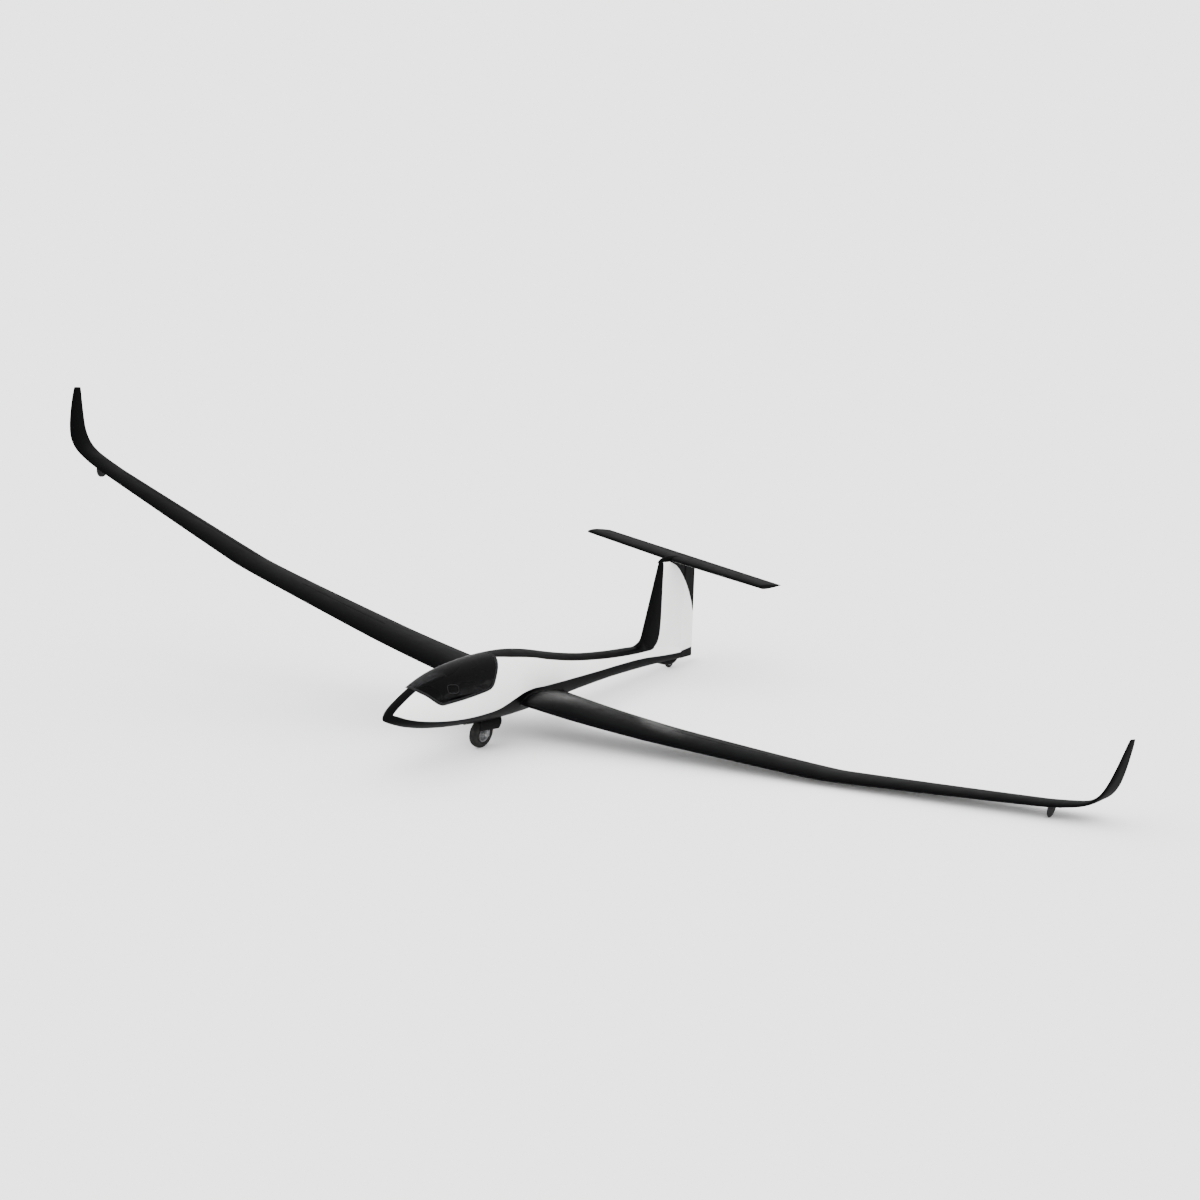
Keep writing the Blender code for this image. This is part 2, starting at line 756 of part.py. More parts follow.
def make_winglets(finish):
    rings = []
    for index, (x, y, z, chord, lean) in enumerate(WINGLET_LINE):
        if index == 0:
            station = wing_station(len(WING_LINE) - 1)
            ring = foil_ring(*station)
            outward = Vector((math.cos(station[4]), 0.0, math.sin(station[4])))
            ring = [point + outward * TOUCH for point in ring]
        else:
            share = index / (len(WINGLET_LINE) - 1)
            thickness = wing_thickness(x) + share * (WINGLET_THICKNESS - wing_thickness(x))
            camber = CAMBER * (1 - share)
            twist = WING_TWIST + min(2 * share, 1.0) * (WINGLET_TWIST - WING_TWIST)
            ring = foil_ring((x, y, z), chord, thickness, camber, math.radians(lean), twist)
        rings.append(ring)
    winglet = add_loft("winglet_left", rings, finish["black"])
    shade(winglet)
    shade(mirror_piece(winglet, "winglet_right"))


def make_tip_skids(finish):
    """A rounded rubbing block under each wing, near the winglet."""
    middle = (wing_surface(SKID_X, 0.35, -1) + wing_surface(SKID_X, 0.35, 1)) / 2
    skin = wing_surface(SKID_X, 0.35, -1)
    rings = []
    for share, half_length, half_width in (
        (0.0, 0.120, 0.020), (0.35, 0.112, 0.020), (0.70, 0.090, 0.018), (0.92, 0.055, 0.014), (1.0, 0.028, 0.008),
    ):
        height = middle.z + share * (skin.z - SKID_DEPTH - middle.z)
        ring = []
        for step in range(20):
            angle = 2 * math.pi * step / 20
            ring.append((SKID_X + half_width * math.cos(angle), middle.y + half_length * math.sin(angle), height))
        rings.append(ring)
    skid = add_loft("tip_skid_left", rings, finish["dark"])
    wing = add_loft("wing_margin", wing_margin_rings(), None, CUTTERS)
    combine(skid, wing, "DIFFERENCE")
    settle_mesh(skid)
    remove(wing)
    shade(skid)
    shade(mirror_piece(skid, "tip_skid_right"))


def wing_margin_rings():
    """The outer wing, a touch fatter, with everything above it, to trim what hangs under it."""
    rings = []
    for x in (6.75, 6.98):
        outline = [wing_surface(x, share, -1) - Vector((0.0, 0.0, TOUCH)) for share in foil_shares()]
        front = outline[0] + Vector((0.0, -0.02, 0.3))
        back = outline[-1] + Vector((0.0, 0.02, 0.3))
        rings.append(outline + [back, front])
    return rings


# Tail


def fin_ring(height, scale=1.0):
    front = on_line(FIN_LE, height)
    hinge = on_line(HINGE_LINE, height)
    back = on_line(RUDDER_TE, height)
    chord = back - front
    ring = []
    cut = (hinge - front) / chord
    shares = [cut * (1 - math.cos(math.pi * step / 16)) for step in range(9)]
    for share in reversed(shares):
        ring.append((scale * chord * foil_half_thickness(share, FIN_THICKNESS), front + chord * share, height))
    for share in shares[1:]:
        ring.append((-scale * chord * foil_half_thickness(share, FIN_THICKNESS), front + chord * share, height))
    return ring


def stabilizer_ring(x, scale=1.0, shift=0.0):
    share = abs(x) / STAB_HALF_SPAN
    front = STAB_LE_ROOT + share * (STAB_LE_TIP - STAB_LE_ROOT) + shift
    chord = STAB_TE - front
    return foil_ring((x, front, STAB_HEIGHT), chord, STAB_THICKNESS * scale, 0.0, 0.0, 0.0)


def make_fin(finish):
    heights = [0.150, 0.450, 0.800, 1.150, 1.400, 1.450]
    scales = [1.0, 1.0, 1.0, 1.0, 1.0, 0.75]
    fin = add_loft("fin", [fin_ring(h, s) for h, s in zip(heights, scales)], finish["white"])
    boom = add_loft("boom_margin", shell_rings(4.900, 6.295, -TOUCH), None, CUTTERS)
    end = add_loft("fin_end", prism_rings(boom_end_outline(), 0.5), None, CUTTERS)
    plane = add_loft(
        "stabilizer_margin", [stabilizer_ring(x, 1.03, -0.002) for x in (-0.6, 0.0, 0.6)], None, CUTTERS
    )
    for tool in (boom, end, plane):
        combine(fin, tool, "DIFFERENCE")
    settle_mesh(fin)
    shade(fin)
    remove(boom, end, plane)


def rudder_ring(height):
    hinge = on_line(HINGE_LINE, height)
    nose = on_line(RUDDER_NOSE, height)
    back = on_line(RUDDER_TE, height)
    ring = []
    for step in range(9):
        angle = math.pi / 2 + math.pi * step / 8
        ring.append((nose * math.sin(angle), hinge + nose * math.cos(angle), height))
    ring.append((-nose * 0.52, hinge + (back - hinge) * 0.5, height))
    ring.append((-0.0015, back, height))
    ring.append((0.0015, back, height))
    ring.append((nose * 0.52, hinge + (back - hinge) * 0.5, height))
    return ring


def make_rudder(finish):
    low = HINGE_LINE[0][0]
    high = HINGE_LINE[1][0]
    heights = [low + (high - low) * step / 4 for step in range(5)]
    rudder = add_loft("rudder", [rudder_ring(height) for height in heights], finish["white"])
    set_origin(rudder, (0.0, HINGE_LINE[0][1], low))
    shade(rudder)


def elevator_nose(x):
    share = abs(x) / STAB_HALF_SPAN
    front = STAB_LE_ROOT + share * (STAB_LE_TIP - STAB_LE_ROOT)
    chord = STAB_TE - front
    return chord * foil_half_thickness((ELEVATOR_HINGE - front) / chord, STAB_THICKNESS)


def make_tailplane(finish):
    tip = STAB_HALF_SPAN
    spans = [-tip, -tip + 0.015, -0.6, 0.0, 0.6, tip - 0.015, tip]
    rings = []
    for x in spans:
        at_tip = abs(x) == tip
        rings.append(stabilizer_ring(x, 0.55 if at_tip else 1.0, 0.02 if at_tip else 0.0))
    stabilizer = add_loft("stabilizer", rings, finish["black"])
    cove_rings = []
    for x in (-tip - 0.1, 0.0, tip + 0.1):
        cove = ELEVATOR_HINGE - elevator_nose(min(abs(x), tip)) - CLEAR - 0.001
        cove_rings.append([(x, cove, 1.2), (x, 6.4, 1.2), (x, 6.4, 1.7), (x, cove, 1.7)])
    cove = add_loft("elevator_cove", cove_rings, None, CUTTERS)
    combine(stabilizer, cove, "DIFFERENCE")
    settle_mesh(stabilizer)
    shade(stabilizer)
    remove(cove)

    rings = []
    for x in (-tip + 0.012, 0.0, tip - 0.012):
        nose = elevator_nose(x)
        ring = []
        for step in range(7):
            angle = math.pi / 2 + math.pi * step / 6
            ring.append((x, ELEVATOR_HINGE + nose * math.cos(angle), STAB_HEIGHT + nose * math.sin(angle)))
        middle = (ELEVATOR_HINGE + STAB_TE) / 2
        ring.append((x, middle, STAB_HEIGHT - nose * 0.52))
        ring.append((x, STAB_TE, STAB_HEIGHT - 0.001))
        ring.append((x, STAB_TE, STAB_HEIGHT + 0.001))
        ring.append((x, middle, STAB_HEIGHT + nose * 0.52))
        rings.append(ring)
    elevator = add_loft("elevator", rings, finish["black"])
    set_origin(elevator, (0.0, ELEVATOR_HINGE, STAB_HEIGHT))
    shade(elevator)


# Undercarriage


def tyre_profile(radius, rim, half_width):
    """Outer crown from edge to edge, then back along the rim seat."""
    crown = []
    centre = rim + (radius - rim) * 0.45
    for step in range(9):
        angle = math.pi * step / 8
        reach = math.sin(angle) ** 0.75 if step not in (0, 8) else 0.0
        crown.append((centre + (radius - centre) * reach, half_width * math.cos(angle)))
    return crown + [(rim + TOUCH, -half_width * 0.62), (rim + TOUCH, half_width * 0.62)]


def hub_profile(rim, half_width, bore, web):
    """A rim, a thin disc and a boss round the bore."""
    edge = half_width * 0.86
    boss = bore + 0.014
    well = rim - 0.012
    right = [
        (rim, half_width * 0.60), (rim + 0.006, edge), (well, edge), (well, web), (boss, web), (boss, edge),
        (bore, edge),
    ]
    return right + [(radius, -along) for radius, along in reversed(right)]


def make_main_wheel(finish):
    profile = tyre_profile(WHEEL_RADIUS, RIM_RADIUS, TYRE_HALF_WIDTH)
    shade(add_turned("main_tyre", profile, WHEEL_CENTRE, finish["rubber"]))
    profile = hub_profile(RIM_RADIUS, TYRE_HALF_WIDTH, AXLE_RADIUS + 0.0005, 0.008)
    fitted = [(min(radius, RIM_RADIUS), along) for radius, along in profile]
    shade(add_turned("main_hub", fitted, WHEEL_CENTRE, finish["steel"]))
    x, y, z = WHEEL_CENTRE
    reach = BOSS_X - TOUCH
    add_rod("main_axle", (-reach, y, z), (reach, y, z), AXLE_RADIUS, finish["steel"], 24)


def make_gear_legs(finish):
    """Two legs and two drag braces on cross tubes that bear on the wheel well's walls."""
    x, y, z = WHEEL_CENTRE
    top = (1.905, -0.105)
    brace = (1.790, -0.085)
    wall = WELL_HALF_WIDTH - TOUCH
    frame = add_rod("gear_legs", (-wall, *top), (wall, *top), 0.014, finish["steel"])
    pieces = [add_rod("brace_tube", (-wall, *brace), (wall, *brace), 0.011, None, group=CUTTERS)]
    for side in (-1, 1):
        foot = (side * LEG_X, y, z)
        pieces.append(add_rod("leg", (side * LEG_X, *top), foot, LEG_RADIUS, None, group=CUTTERS))
        knee = (side * LEG_X, (top[0] + y) / 2, (top[1] + z) / 2)
        pieces.append(add_rod("drag_brace", (side * LEG_X, *brace), knee, 0.008, None, 11, CUTTERS))
        inner = side * BOSS_X
        outer = side * (LEG_X + LEG_RADIUS + 0.004)
        pieces.append(add_rod("foot_boss", (inner, y, z), (outer, y, z), 0.022, None, 21, CUTTERS))
    for piece in pieces:
        combine(frame, piece, "UNION")
    settle_mesh(frame)
    shade(frame)
    remove(*pieces)


def make_gear_doors(finish):
    """A curved belly panel on each side of the wheel, hanging open."""
    count = 8
    hinge_x = WELL_HALF_WIDTH + 0.002
    hinge_z = fuselage_line(1.95, 2) + 0.028
    outer = []
    inner = []
    for step in range(count + 1):
        share = step / count
        bulge = 0.016 * math.sin(math.pi * share)
        outer.append((hinge_x + 0.018 * share + bulge, hinge_z - DOOR_DEPTH * share))
        inner.append((hinge_x + 0.018 * share + bulge - DOOR_THICKNESS, hinge_z - DOOR_DEPTH * share))
    section = outer + inner[::-1]
    rings = [[(x, y, z) for x, z in section] for y in (WELL_FRONT + 0.004, WELL_REAR - 0.004)]
    door = add_loft("gear_door_left", rings, finish["white"])
    body = add_loft("belly_margin", shell_rings(1.500, 2.198, -TOUCH), None, CUTTERS)
    combine(door, body, "DIFFERENCE")
    settle_mesh(door)
    remove(body)
    shade(door)
    shade(mirror_piece(door, "gear_door_right"))


def make_tow_hook(finish):
    outline = [
        (-0.030, 0.000), (0.030, 0.000), (0.030, -0.012), (0.016, -0.020), (0.014, -0.034),
        (-0.004, -0.040), (-0.014, -0.034), (-0.010, -0.028), (0.002, -0.028), (0.004, -0.020), (-0.030, -0.012),
    ]
    placing = Matrix.Translation((0.0, 1.640, fuselage_line(1.64, 2) - 0.001))
    turn = Matrix(((0, 0, 1, 0), (1, 0, 0, 0), (0, 1, 0, 0), (0, 0, 0, 1)))
    add_plate("tow_hook", outline, 0.012, placing @ turn, finish["steel"])


def make_tail_wheel(finish):
    profile = tyre_profile(TAIL_WHEEL_RADIUS, TAIL_RIM_RADIUS, TAIL_TYRE_HALF_WIDTH)
    shade(add_turned("tail_tyre", profile, TAIL_WHEEL_CENTRE, finish["rubber"]))
    profile = hub_profile(TAIL_RIM_RADIUS, TAIL_TYRE_HALF_WIDTH, TAIL_AXLE_RADIUS + 0.0005, 0.004)
    fitted = [(min(radius, TAIL_RIM_RADIUS), along) for radius, along in profile]
    shade(add_turned("tail_hub", fitted, TAIL_WHEEL_CENTRE, finish["steel"]))
    x, y, z = TAIL_WHEEL_CENTRE
    reach = TAIL_SLOT_HALF_WIDTH - TOUCH
    add_rod("tail_axle", (-reach, y, z), (reach, y, z), TAIL_AXLE_RADIUS, finish["steel"])


# Cockpit


def trim_inside(item):
    """Cut a piece to the inner face of the cockpit's wall."""
    inside = add_loft("inside", shell_rings(0.35, 1.675, SHELL_WALL + TOUCH), None, CUTTERS)
    combine(item, inside, "INTERSECT")
    settle_mesh(item)
    remove(inside)
    shade(item)


def seat_offset(distance):
    """The seat's side view moved towards the pilot by a distance."""
    moved = []
    for index, (y, z) in enumerate(SEAT_LINE):
        before = SEAT_LINE[max(index - 1, 0)]
        after = SEAT_LINE[min(index + 1, len(SEAT_LINE) - 1)]
        run = Vector((after[0] - before[0], after[1] - before[1])).normalized()
        moved.append((y - run.y * distance, z + run.x * distance))
    return moved


def make_seat(finish):
    """A reclined pan trimmed to the inside of the shell, with one cushion along it."""
    outline = SEAT_LINE + seat_offset(PAN_THICKNESS)[::-1]
    pan = add_loft("seat_pan", prism_rings(outline, 0.27), finish["grey"])
    trim_inside(pan)
    low = seat_offset(PAN_THICKNESS + TOUCH)[1:]
    high = seat_offset(PAN_THICKNESS + CUSHION_THICKNESS)[1:]
    cushion = add_loft("seat_cushion", prism_rings(low + high[::-1], 0.190), finish["fabric"])
    trim_inside(cushion)


def make_headrest(finish):
    """A pad on the front of an upright bracket that stands on the shelf."""
    front = SEAT_BULKHEAD + 0.020
    pad = add_box(
        "headrest", (-0.105, front - 0.052, 0.222), (0.105, front - TOUCH, 0.352), finish["fabric"],
        rounding=0.018,
    )
    settle_mesh(pad)
    shade(pad)
    level = SHELF_HEIGHT + TOUCH
    bracket = add_box("headrest_bracket", (-0.045, front, level), (0.045, front + 0.008, 0.335), finish["grey"])
    foot = add_box("foot", (-0.045, front, level), (0.045, front + 0.090, level + 0.008), None, CUTTERS)
    settle_mesh(combine(bracket, foot, "UNION"))
    remove(foot)


def make_instrument_panel(finish):
    """A pod on a pedestal between the pilot's legs."""
    outline = []
    for x, z in ((0.060, -0.060), (0.135, 0.010), (0.150, 0.090), (0.125, 0.165), (0.060, 0.200)):
        outline.append((x, z))
    outline = outline + [(-x, z) for x, z in reversed(outline)]
    rings = []
    for y, scale in ((0.660, 0.72), (0.720, 0.94), (0.800, 1.0), (0.812, 0.97)):
        rings.append([(x * scale, y, 0.07 + (z - 0.07) * scale) for x, z in outline])
    panel = add_loft("instrument_panel", rings, finish["dark"])
    stand = add_box("stand", (-0.045, 0.690, -0.262), (0.045, 0.780, 0.000), None, CUTTERS)
    combine(panel, stand, "UNION")
    trim_inside(panel)
    remove(stand)


def make_controls(finish):
    floor = fuselage_line(0.88, 2)
    stick = add_tube(
        "control_stick", [(0, 0.885, floor), (0, 0.885, -0.14), (0, 0.875, -0.05), (0, 0.875, 0.04)], 0.010,
        finish["dark"],
    )
    grip = add_rod("grip", (0, 0.875, -0.03), (0, 0.875, 0.055), 0.017, None, 14, CUTTERS, 0.014)
    combine(stick, grip, "UNION")
    trim_inside(stick)
    remove(grip)

    bar = add_rod("rudder_pedals", (-0.150, 0.500, -0.130), (0.150, 0.500, -0.130), 0.009, finish["steel"])
    plates = []
    for side in (-1, 1):
        low = (side * 0.105 - 0.038, 0.494, -0.132)
        high = (side * 0.105 + 0.038, 0.506, 0.010)
        plates.append(add_box("pedal", low, high, None, CUTTERS))
    bottom = fuselage_line(0.5, 2)
    plates.append(add_box("pedal_post", (-0.012, 0.488, bottom), (0.012, 0.512, -0.128), None, CUTTERS))
    for plate in plates:
        combine(bar, plate, "UNION")
    trim_inside(bar)
    remove(*plates)

    for name, side, y, z, look in (
        ("airbrake_lever", 1, 1.080, 0.000, "blue"),
        ("gear_lever", -1, 1.020, 0.000, "dark"),
        ("trim_lever", 1, 0.940, -0.060, "dark"),
    ):
        wall = wall_x(y, z, SHELL_WALL)
        points = [
            (side * (wall + 0.020), y, z), (side * (wall - 0.030), y, z),
            (side * (wall - 0.036), y - 0.014, z + 0.004), (side * (wall - 0.036), y - 0.090, z + 0.020),
        ]
        lever = add_tube(name, points, LEVER_RADIUS, finish[look])
        trim_inside(lever)


# Standing on the ground


def world_points(item):
    bpy.context.view_layer.update()
    solid = item.evaluated_get(bpy.context.evaluated_depsgraph_get())
    return [item.matrix_world @ vert.co for vert in solid.data.vertices]


def park_on_feet(datum, feet):
    """Turn the airframe until its three feet share one level, with the nose towards -y."""
    points = [world_points(bpy.data.objects[name]) for name in feet]
    turn = Matrix.Identity(3)
    up = Vector((0, 0, 1))
    for _ in range(12):
        lowest = [min((turn @ point for point in foot), key=lambda point: point.z) for foot in points]
        normal = (lowest[1] - lowest[0]).cross(lowest[2] - lowest[0]).normalized()
        if normal.z < 0:
            normal.negate()
        turn = normal.rotation_difference(up).to_matrix() @ turn
    tailward = turn @ Vector((0, 1, 0))
    turn = Matrix.Rotation(math.atan2(tailward.x, tailward.y), 3, "Z") @ turn
    datum.matrix_world = turn.to_4x4()
    everything = [point for item in bpy.data.collections[AIRFRAME].objects for point in world_points(item)]
    low = [min(point[axis] for point in everything) for axis in range(3)]
    high = [max(point[axis] for point in everything) for axis in range(3)]
    shift = Vector((-(low[0] + high[0]) / 2, -(low[1] + high[1]) / 2, -low[2]))
    datum.matrix_world = Matrix.Translation(shift) @ turn.to_4x4()
    bpy.context.view_layer.update()


def build_glider():
    clear_scene()
    group = new_collection(AIRFRAME)
    new_collection(CUTTERS)
    datum = bpy.data.objects.new("airframe_datum", None)
    bpy.context.scene.collection.objects.link(datum)
    finish = make_materials()
    make_cockpit_shell(finish)
    make_canopy(finish)
    make_rear_fuselage(finish)
    make_tail_wheel_fairing(finish)
    make_wing(finish)
    make_ailerons(finish)
    make_airbrakes(finish)
    make_winglets(finish)
    make_tip_skids(finish)
    make_fin(finish)
    make_rudder(finish)
    make_tailplane(finish)
    make_main_wheel(finish)
    make_gear_legs(finish)
    make_gear_doors(finish)
    make_tow_hook(finish)
    make_tail_wheel(finish)
    make_seat(finish)
    make_headrest(finish)
    make_instrument_panel(finish)
    make_controls(finish)
    park_on_feet(datum, ["main_tyre", "tail_tyre", "tip_skid_left"])
    return group


build_glider()
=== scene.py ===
"""Looks of the single-seat sailplane: its skins, paint, canopy, cockpit and wheels.

Every new piece is drawn in the airframe's own frame, x to the pilot's left, y from the nose to the tail and
z up, in metres with the nose tip at y = 0, and is then set down where the banked aircraft stands.
"""

import json
import math

import bpy
from mathutils import Matrix, Vector
from mathutils.bvhtree import BVHTree


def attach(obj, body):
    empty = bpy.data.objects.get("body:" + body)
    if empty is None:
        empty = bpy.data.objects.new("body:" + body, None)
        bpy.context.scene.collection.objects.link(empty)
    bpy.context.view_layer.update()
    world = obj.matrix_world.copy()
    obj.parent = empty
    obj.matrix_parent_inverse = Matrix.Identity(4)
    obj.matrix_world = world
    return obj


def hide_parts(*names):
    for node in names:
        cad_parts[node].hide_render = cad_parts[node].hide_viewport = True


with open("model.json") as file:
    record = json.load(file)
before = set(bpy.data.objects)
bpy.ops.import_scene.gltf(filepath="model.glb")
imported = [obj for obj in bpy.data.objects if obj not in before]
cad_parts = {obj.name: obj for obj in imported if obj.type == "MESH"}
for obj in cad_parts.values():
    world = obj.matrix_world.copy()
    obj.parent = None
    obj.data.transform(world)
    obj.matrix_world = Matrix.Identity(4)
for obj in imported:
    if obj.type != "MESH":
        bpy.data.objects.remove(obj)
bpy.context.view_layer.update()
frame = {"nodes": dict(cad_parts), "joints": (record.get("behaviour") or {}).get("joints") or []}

# Directions, the distance of faces that meet, the gap round moving parts, and of points that are one
LEFT = Vector((1.0, 0.0, 0.0))
AFT = Vector((0.0, 1.0, 0.0))
TOUCH = 0.0003
GAP = 0.005
MERGE = 0.000005

# Fuselage lines: y, top, belly, half width
FUSELAGE_LINES = [
    (0.000, -0.090, -0.104, 0.008), (0.015, -0.062, -0.124, 0.028), (0.050, -0.022, -0.140, 0.050),
    (0.110, 0.026, -0.160, 0.078), (0.210, 0.090, -0.188, 0.116), (0.350, 0.176, -0.221, 0.160),
    (0.550, 0.278, -0.253, 0.210), (0.800, 0.366, -0.278, 0.253), (1.100, 0.434, -0.294, 0.285),
    (1.450, 0.486, -0.299, 0.304), (1.800, 0.518, -0.297, 0.311), (2.200, 0.526, -0.283, 0.304),
    (2.600, 0.494, -0.252, 0.276), (3.000, 0.436, -0.205, 0.238), (3.400, 0.382, -0.150, 0.206),
    (3.900, 0.336, -0.085, 0.178), (4.500, 0.318, -0.018, 0.153), (5.100, 0.320, 0.027, 0.131),
    (5.600, 0.298, 0.055, 0.108), (6.000, 0.264, 0.068, 0.087), (6.300, 0.238, 0.074, 0.071),
]
WIDEST_HEIGHT = 0.47
SECTION_POWER = 2.15
HULL_POINTS = 96
FINE_POINTS = 144
HULL_STEP = 0.07
SHELL_WALL = 0.012
SPLIT_Y = 2.200
BOOM_END = 6.295

# Cockpit and canopy
CAVITY_FRONT = 0.130
CAVITY_REAR = 2.020
SEAT_BULKHEAD = 1.680
SHELF_HEIGHT = 0.150
CANOPY_OUTLINE = [
    (0.385, 0.700), (0.385, 0.236), (0.430, 0.197), (0.480, 0.175), (0.525, 0.152), (0.575, 0.122),
    (0.630, 0.092), (0.690, 0.067), (0.745, 0.057), (0.850, 0.073), (1.075, 0.105), (1.300, 0.141),
    (1.480, 0.172), (1.550, 0.190), (1.605, 0.228), (1.680, 0.342), (1.765, 0.444), (1.835, 0.512),
    (1.900, 0.575), (1.900, 0.700),
]
FRAME_WIDTH = 0.032
FRAME_DEPTH = 0.020
GLASS_DEPTH = 0.005

SEAT_LINE = [
    (0.930, -0.150), (1.060, -0.205), (1.200, -0.232), (1.320, -0.222), (1.440, -0.120), (1.560, 0.020),
    (1.650, 0.130),
]
PAN_THICKNESS = 0.012
CUSHION_THICKNESS = 0.030
HEADREST_BACK = SEAT_BULKHEAD + 0.020

# Wheels and their well
MAIN_WHEEL = Vector((0.0, 1.980, -0.480))
TAIL_WHEEL = Vector((0.0, 6.060, 0.048))
WELL_HALF_WIDTH = 0.105
WELL_FRONT = 1.740
WELL_REAR = 2.170
WELL_TOP = -0.040
MAIN_TYRE = (0.180, 0.098, 0.062)
MAIN_BORE = 0.0115
LEG_X = 0.083
LEG_RADIUS = 0.012
LEG_TOP = (1.905, -0.105)
DOOR_BOTTOM = -0.402
TAIL_TYRE = (0.085, 0.050, 0.024)
TAIL_BORE = 0.0065
TAIL_SLOT_HALF_WIDTH = 0.031

# Wing: x, leading edge y, leading edge z
WING_LINE = [
    (0.345, 2.245, -0.048), (1.000, 2.240, -0.013), (1.600, 2.233, 0.035), (2.100, 2.226, 0.084),
    (3.500, 2.203, 0.256), (4.100, 2.190, 0.335), (4.380, 2.183, 0.382), (6.720, 2.112, 0.915),
    (7.000, 2.102, 0.992),
]
ROOT_CHORD = 1.020
KINK_CHORD = 0.666
TIP_CHORD = 0.355
KINK_X = 3.414
TIP_X = 7.495
ROOT_THICKNESS = 0.150
TIP_THICKNESS = 0.125
CAMBER = 0.028
WING_TWIST = math.radians(2.24)

# Winglet: x, leading edge y, leading edge z, chord, lean in degrees
WINGLET_LINE = [
    (7.000, 2.102, 0.992, 0.393, 15.4), (7.190, 2.096, 1.066, 0.380, 26.0),
    (7.310, 2.092, 1.142, 0.366, 42.0), (7.390, 2.090, 1.240, 0.345, 60.0),
    (7.440, 2.092, 1.370, 0.312, 74.0), (7.478, 2.102, 1.540, 0.262, 80.0),
    (7.506, 2.118, 1.720, 0.200, 83.0), (7.525, 2.142, 1.865, 0.135, 85.0),
    (7.527, 2.165, 1.882, 0.085, 85.0),
]
WINGLET_THICKNESS = 0.110
WINGLET_TWIST = math.radians(-5.0)

# Ailerons, airbrakes and tip skids
AILERON_INNER = 4.420
AILERON_OUTER = 6.680
HINGE_SHARE = 0.780
AIRBRAKE_INNER = 2.150
AIRBRAKE_OUTER = 3.450
AIRBRAKE_SHARE = 0.480
BLADE_HEIGHT = 0.066
SKID_X = 6.880
SKID_SHARE = 0.35
SKID_DEPTH = 0.130
FOIL_SHARES = [(1 - math.cos(math.pi * step / 26)) / 2 for step in range(27)]
NOSE_ANGLES = [math.pi / 2 + math.pi * step / 16 for step in range(17)]
QUARTER_ANGLES = [math.pi / 2 * step / 10 for step in range(11)]

# Tail: heights and places along the fuselage, and the rudder's nose radius at its two ends
FIN_LE = [(0.150, 5.190), (1.430, 5.236)]
HINGE_LINE = [(0.085, 6.265), (1.385, 5.888)]
RUDDER_TE = [(0.085, 6.605), (1.385, 6.162)]
RUDDER_NOSE = [(0.085, 0.044), (1.385, 0.030)]
FIN_THICKNESS = 0.105
STAB_HALF_SPAN = 1.350
STAB_HEIGHT = 1.476
STAB_LE_ROOT = 5.450
STAB_LE_TIP = 5.545
STAB_TE = 6.090
ELEVATOR_HINGE = 5.930
STAB_THICKNESS = 0.105

# Paint lines of the fuselage, as y and z, and of the tail, as z and y; the tail's last line bounds a painted
# shadow of the tailplane on the rudder's top
SPINE_LINE = [
    (1.80, 0.500), (2.00, 0.492), (2.44, 0.457), (2.96, 0.380), (3.50, 0.316), (4.05, 0.280), (4.50, 0.268),
    (4.90, 0.269), (5.16, 0.275), (5.43, 0.289), (5.50, 0.350), (5.54, 0.440), (5.60, 0.900), (7.00, 0.950),
]
BELLY_LINE = [
    (0.00, -0.030), (0.10, -0.045), (0.28, -0.088), (0.56, -0.125), (0.94, -0.146), (1.15, -0.147),
    (1.35, -0.140), (1.55, -0.122), (1.79, -0.086), (1.94, -0.033), (2.09, 0.029), (2.27, 0.086),
    (2.47, 0.112), (2.75, 0.108), (3.20, 0.114), (3.47, 0.123), (4.02, 0.147), (4.57, 0.180),
    (5.14, 0.203), (5.75, 0.190), (6.20, 0.190), (6.60, 0.215), (7.00, 0.240),
]
NOSE_CAP_Y = 0.085
NOSE_STRIPE = 0.061
NOSE_STRIPE_END = 0.46
SPINE_START = 1.70
FIN_BAND = [
    (0.20, 5.30), (0.29, 5.43), (0.35, 5.50), (0.44, 5.527), (0.60, 5.51), (0.80, 5.462),
    (1.14, 5.373), (1.45, 5.304),
]
# Edge of the black triangle at the rudder's top: painted shadow, the tailplane's shade put into the colour as
# black
TAILPLANE_SHADOW_EDGE = [
    (0.60, 6.90), (0.66, 6.50), (0.70, 6.41), (0.88, 6.253), (1.10, 6.033), (1.295, 5.784),
    (1.40, 5.60), (1.45, 5.45),
]

# Instruments: x, z, radius and turn of the hand
PANEL_FACE = 0.812
LARGE_DIAL = 0.030
DIALS = [
    (-0.062, 0.098, 0.038, 0.6), (0.062, 0.098, 0.038, 2.4), (-0.048, 0.014, 0.027, 4.0),
    (0.048, 0.014, 0.027, 1.4), (0.0, 0.160, 0.021, 3.1),
]

# Camera at the photograph's viewing angle, in the airframe's frame
CAMERA_PLACE = Vector((14.7235, -20.4193, 6.9031))
CAMERA_AHEAD = Vector((-0.505698, 0.838725, -0.202014))
CAMERA_UP = Vector((-0.280799, 0.061391, 0.957801))
CAMERA_LENS = 70.6
CAMERA_SENSOR = 36.0

# Brightness of the studio's air, for the eye and in the gloss
AIR_BRIGHTNESS = 3.0
AIR_IN_GLOSS = 0.35


# The airframe's place on the ground


def joint(name):
    """The part's joint of that name."""
    return next(entry for entry in frame["joints"] if entry["name"] == name)


def airframe_placing():
    """Where the banked airframe stands, from its two wheel axles."""

    def axes(left, aft):
        aft = (aft - left * aft.dot(left)).normalized()
        return Matrix((left, aft, left.cross(aft))).transposed()

    main = Vector(joint("main_wheel_spin")["pos_m"])
    tail = Vector(joint("tail_wheel_spin")["pos_m"])
    across = Vector(joint("main_wheel_spin")["axis"]).normalized()
    drawn = axes(LEFT, TAIL_WHEEL - MAIN_WHEEL)
    turn = axes(across, tail - main) @ drawn.transposed()
    return Matrix.Translation(main - turn @ MAIN_WHEEL) @ turn.to_4x4()


AIRFRAME = airframe_placing()


# Handling of objects, as by hand


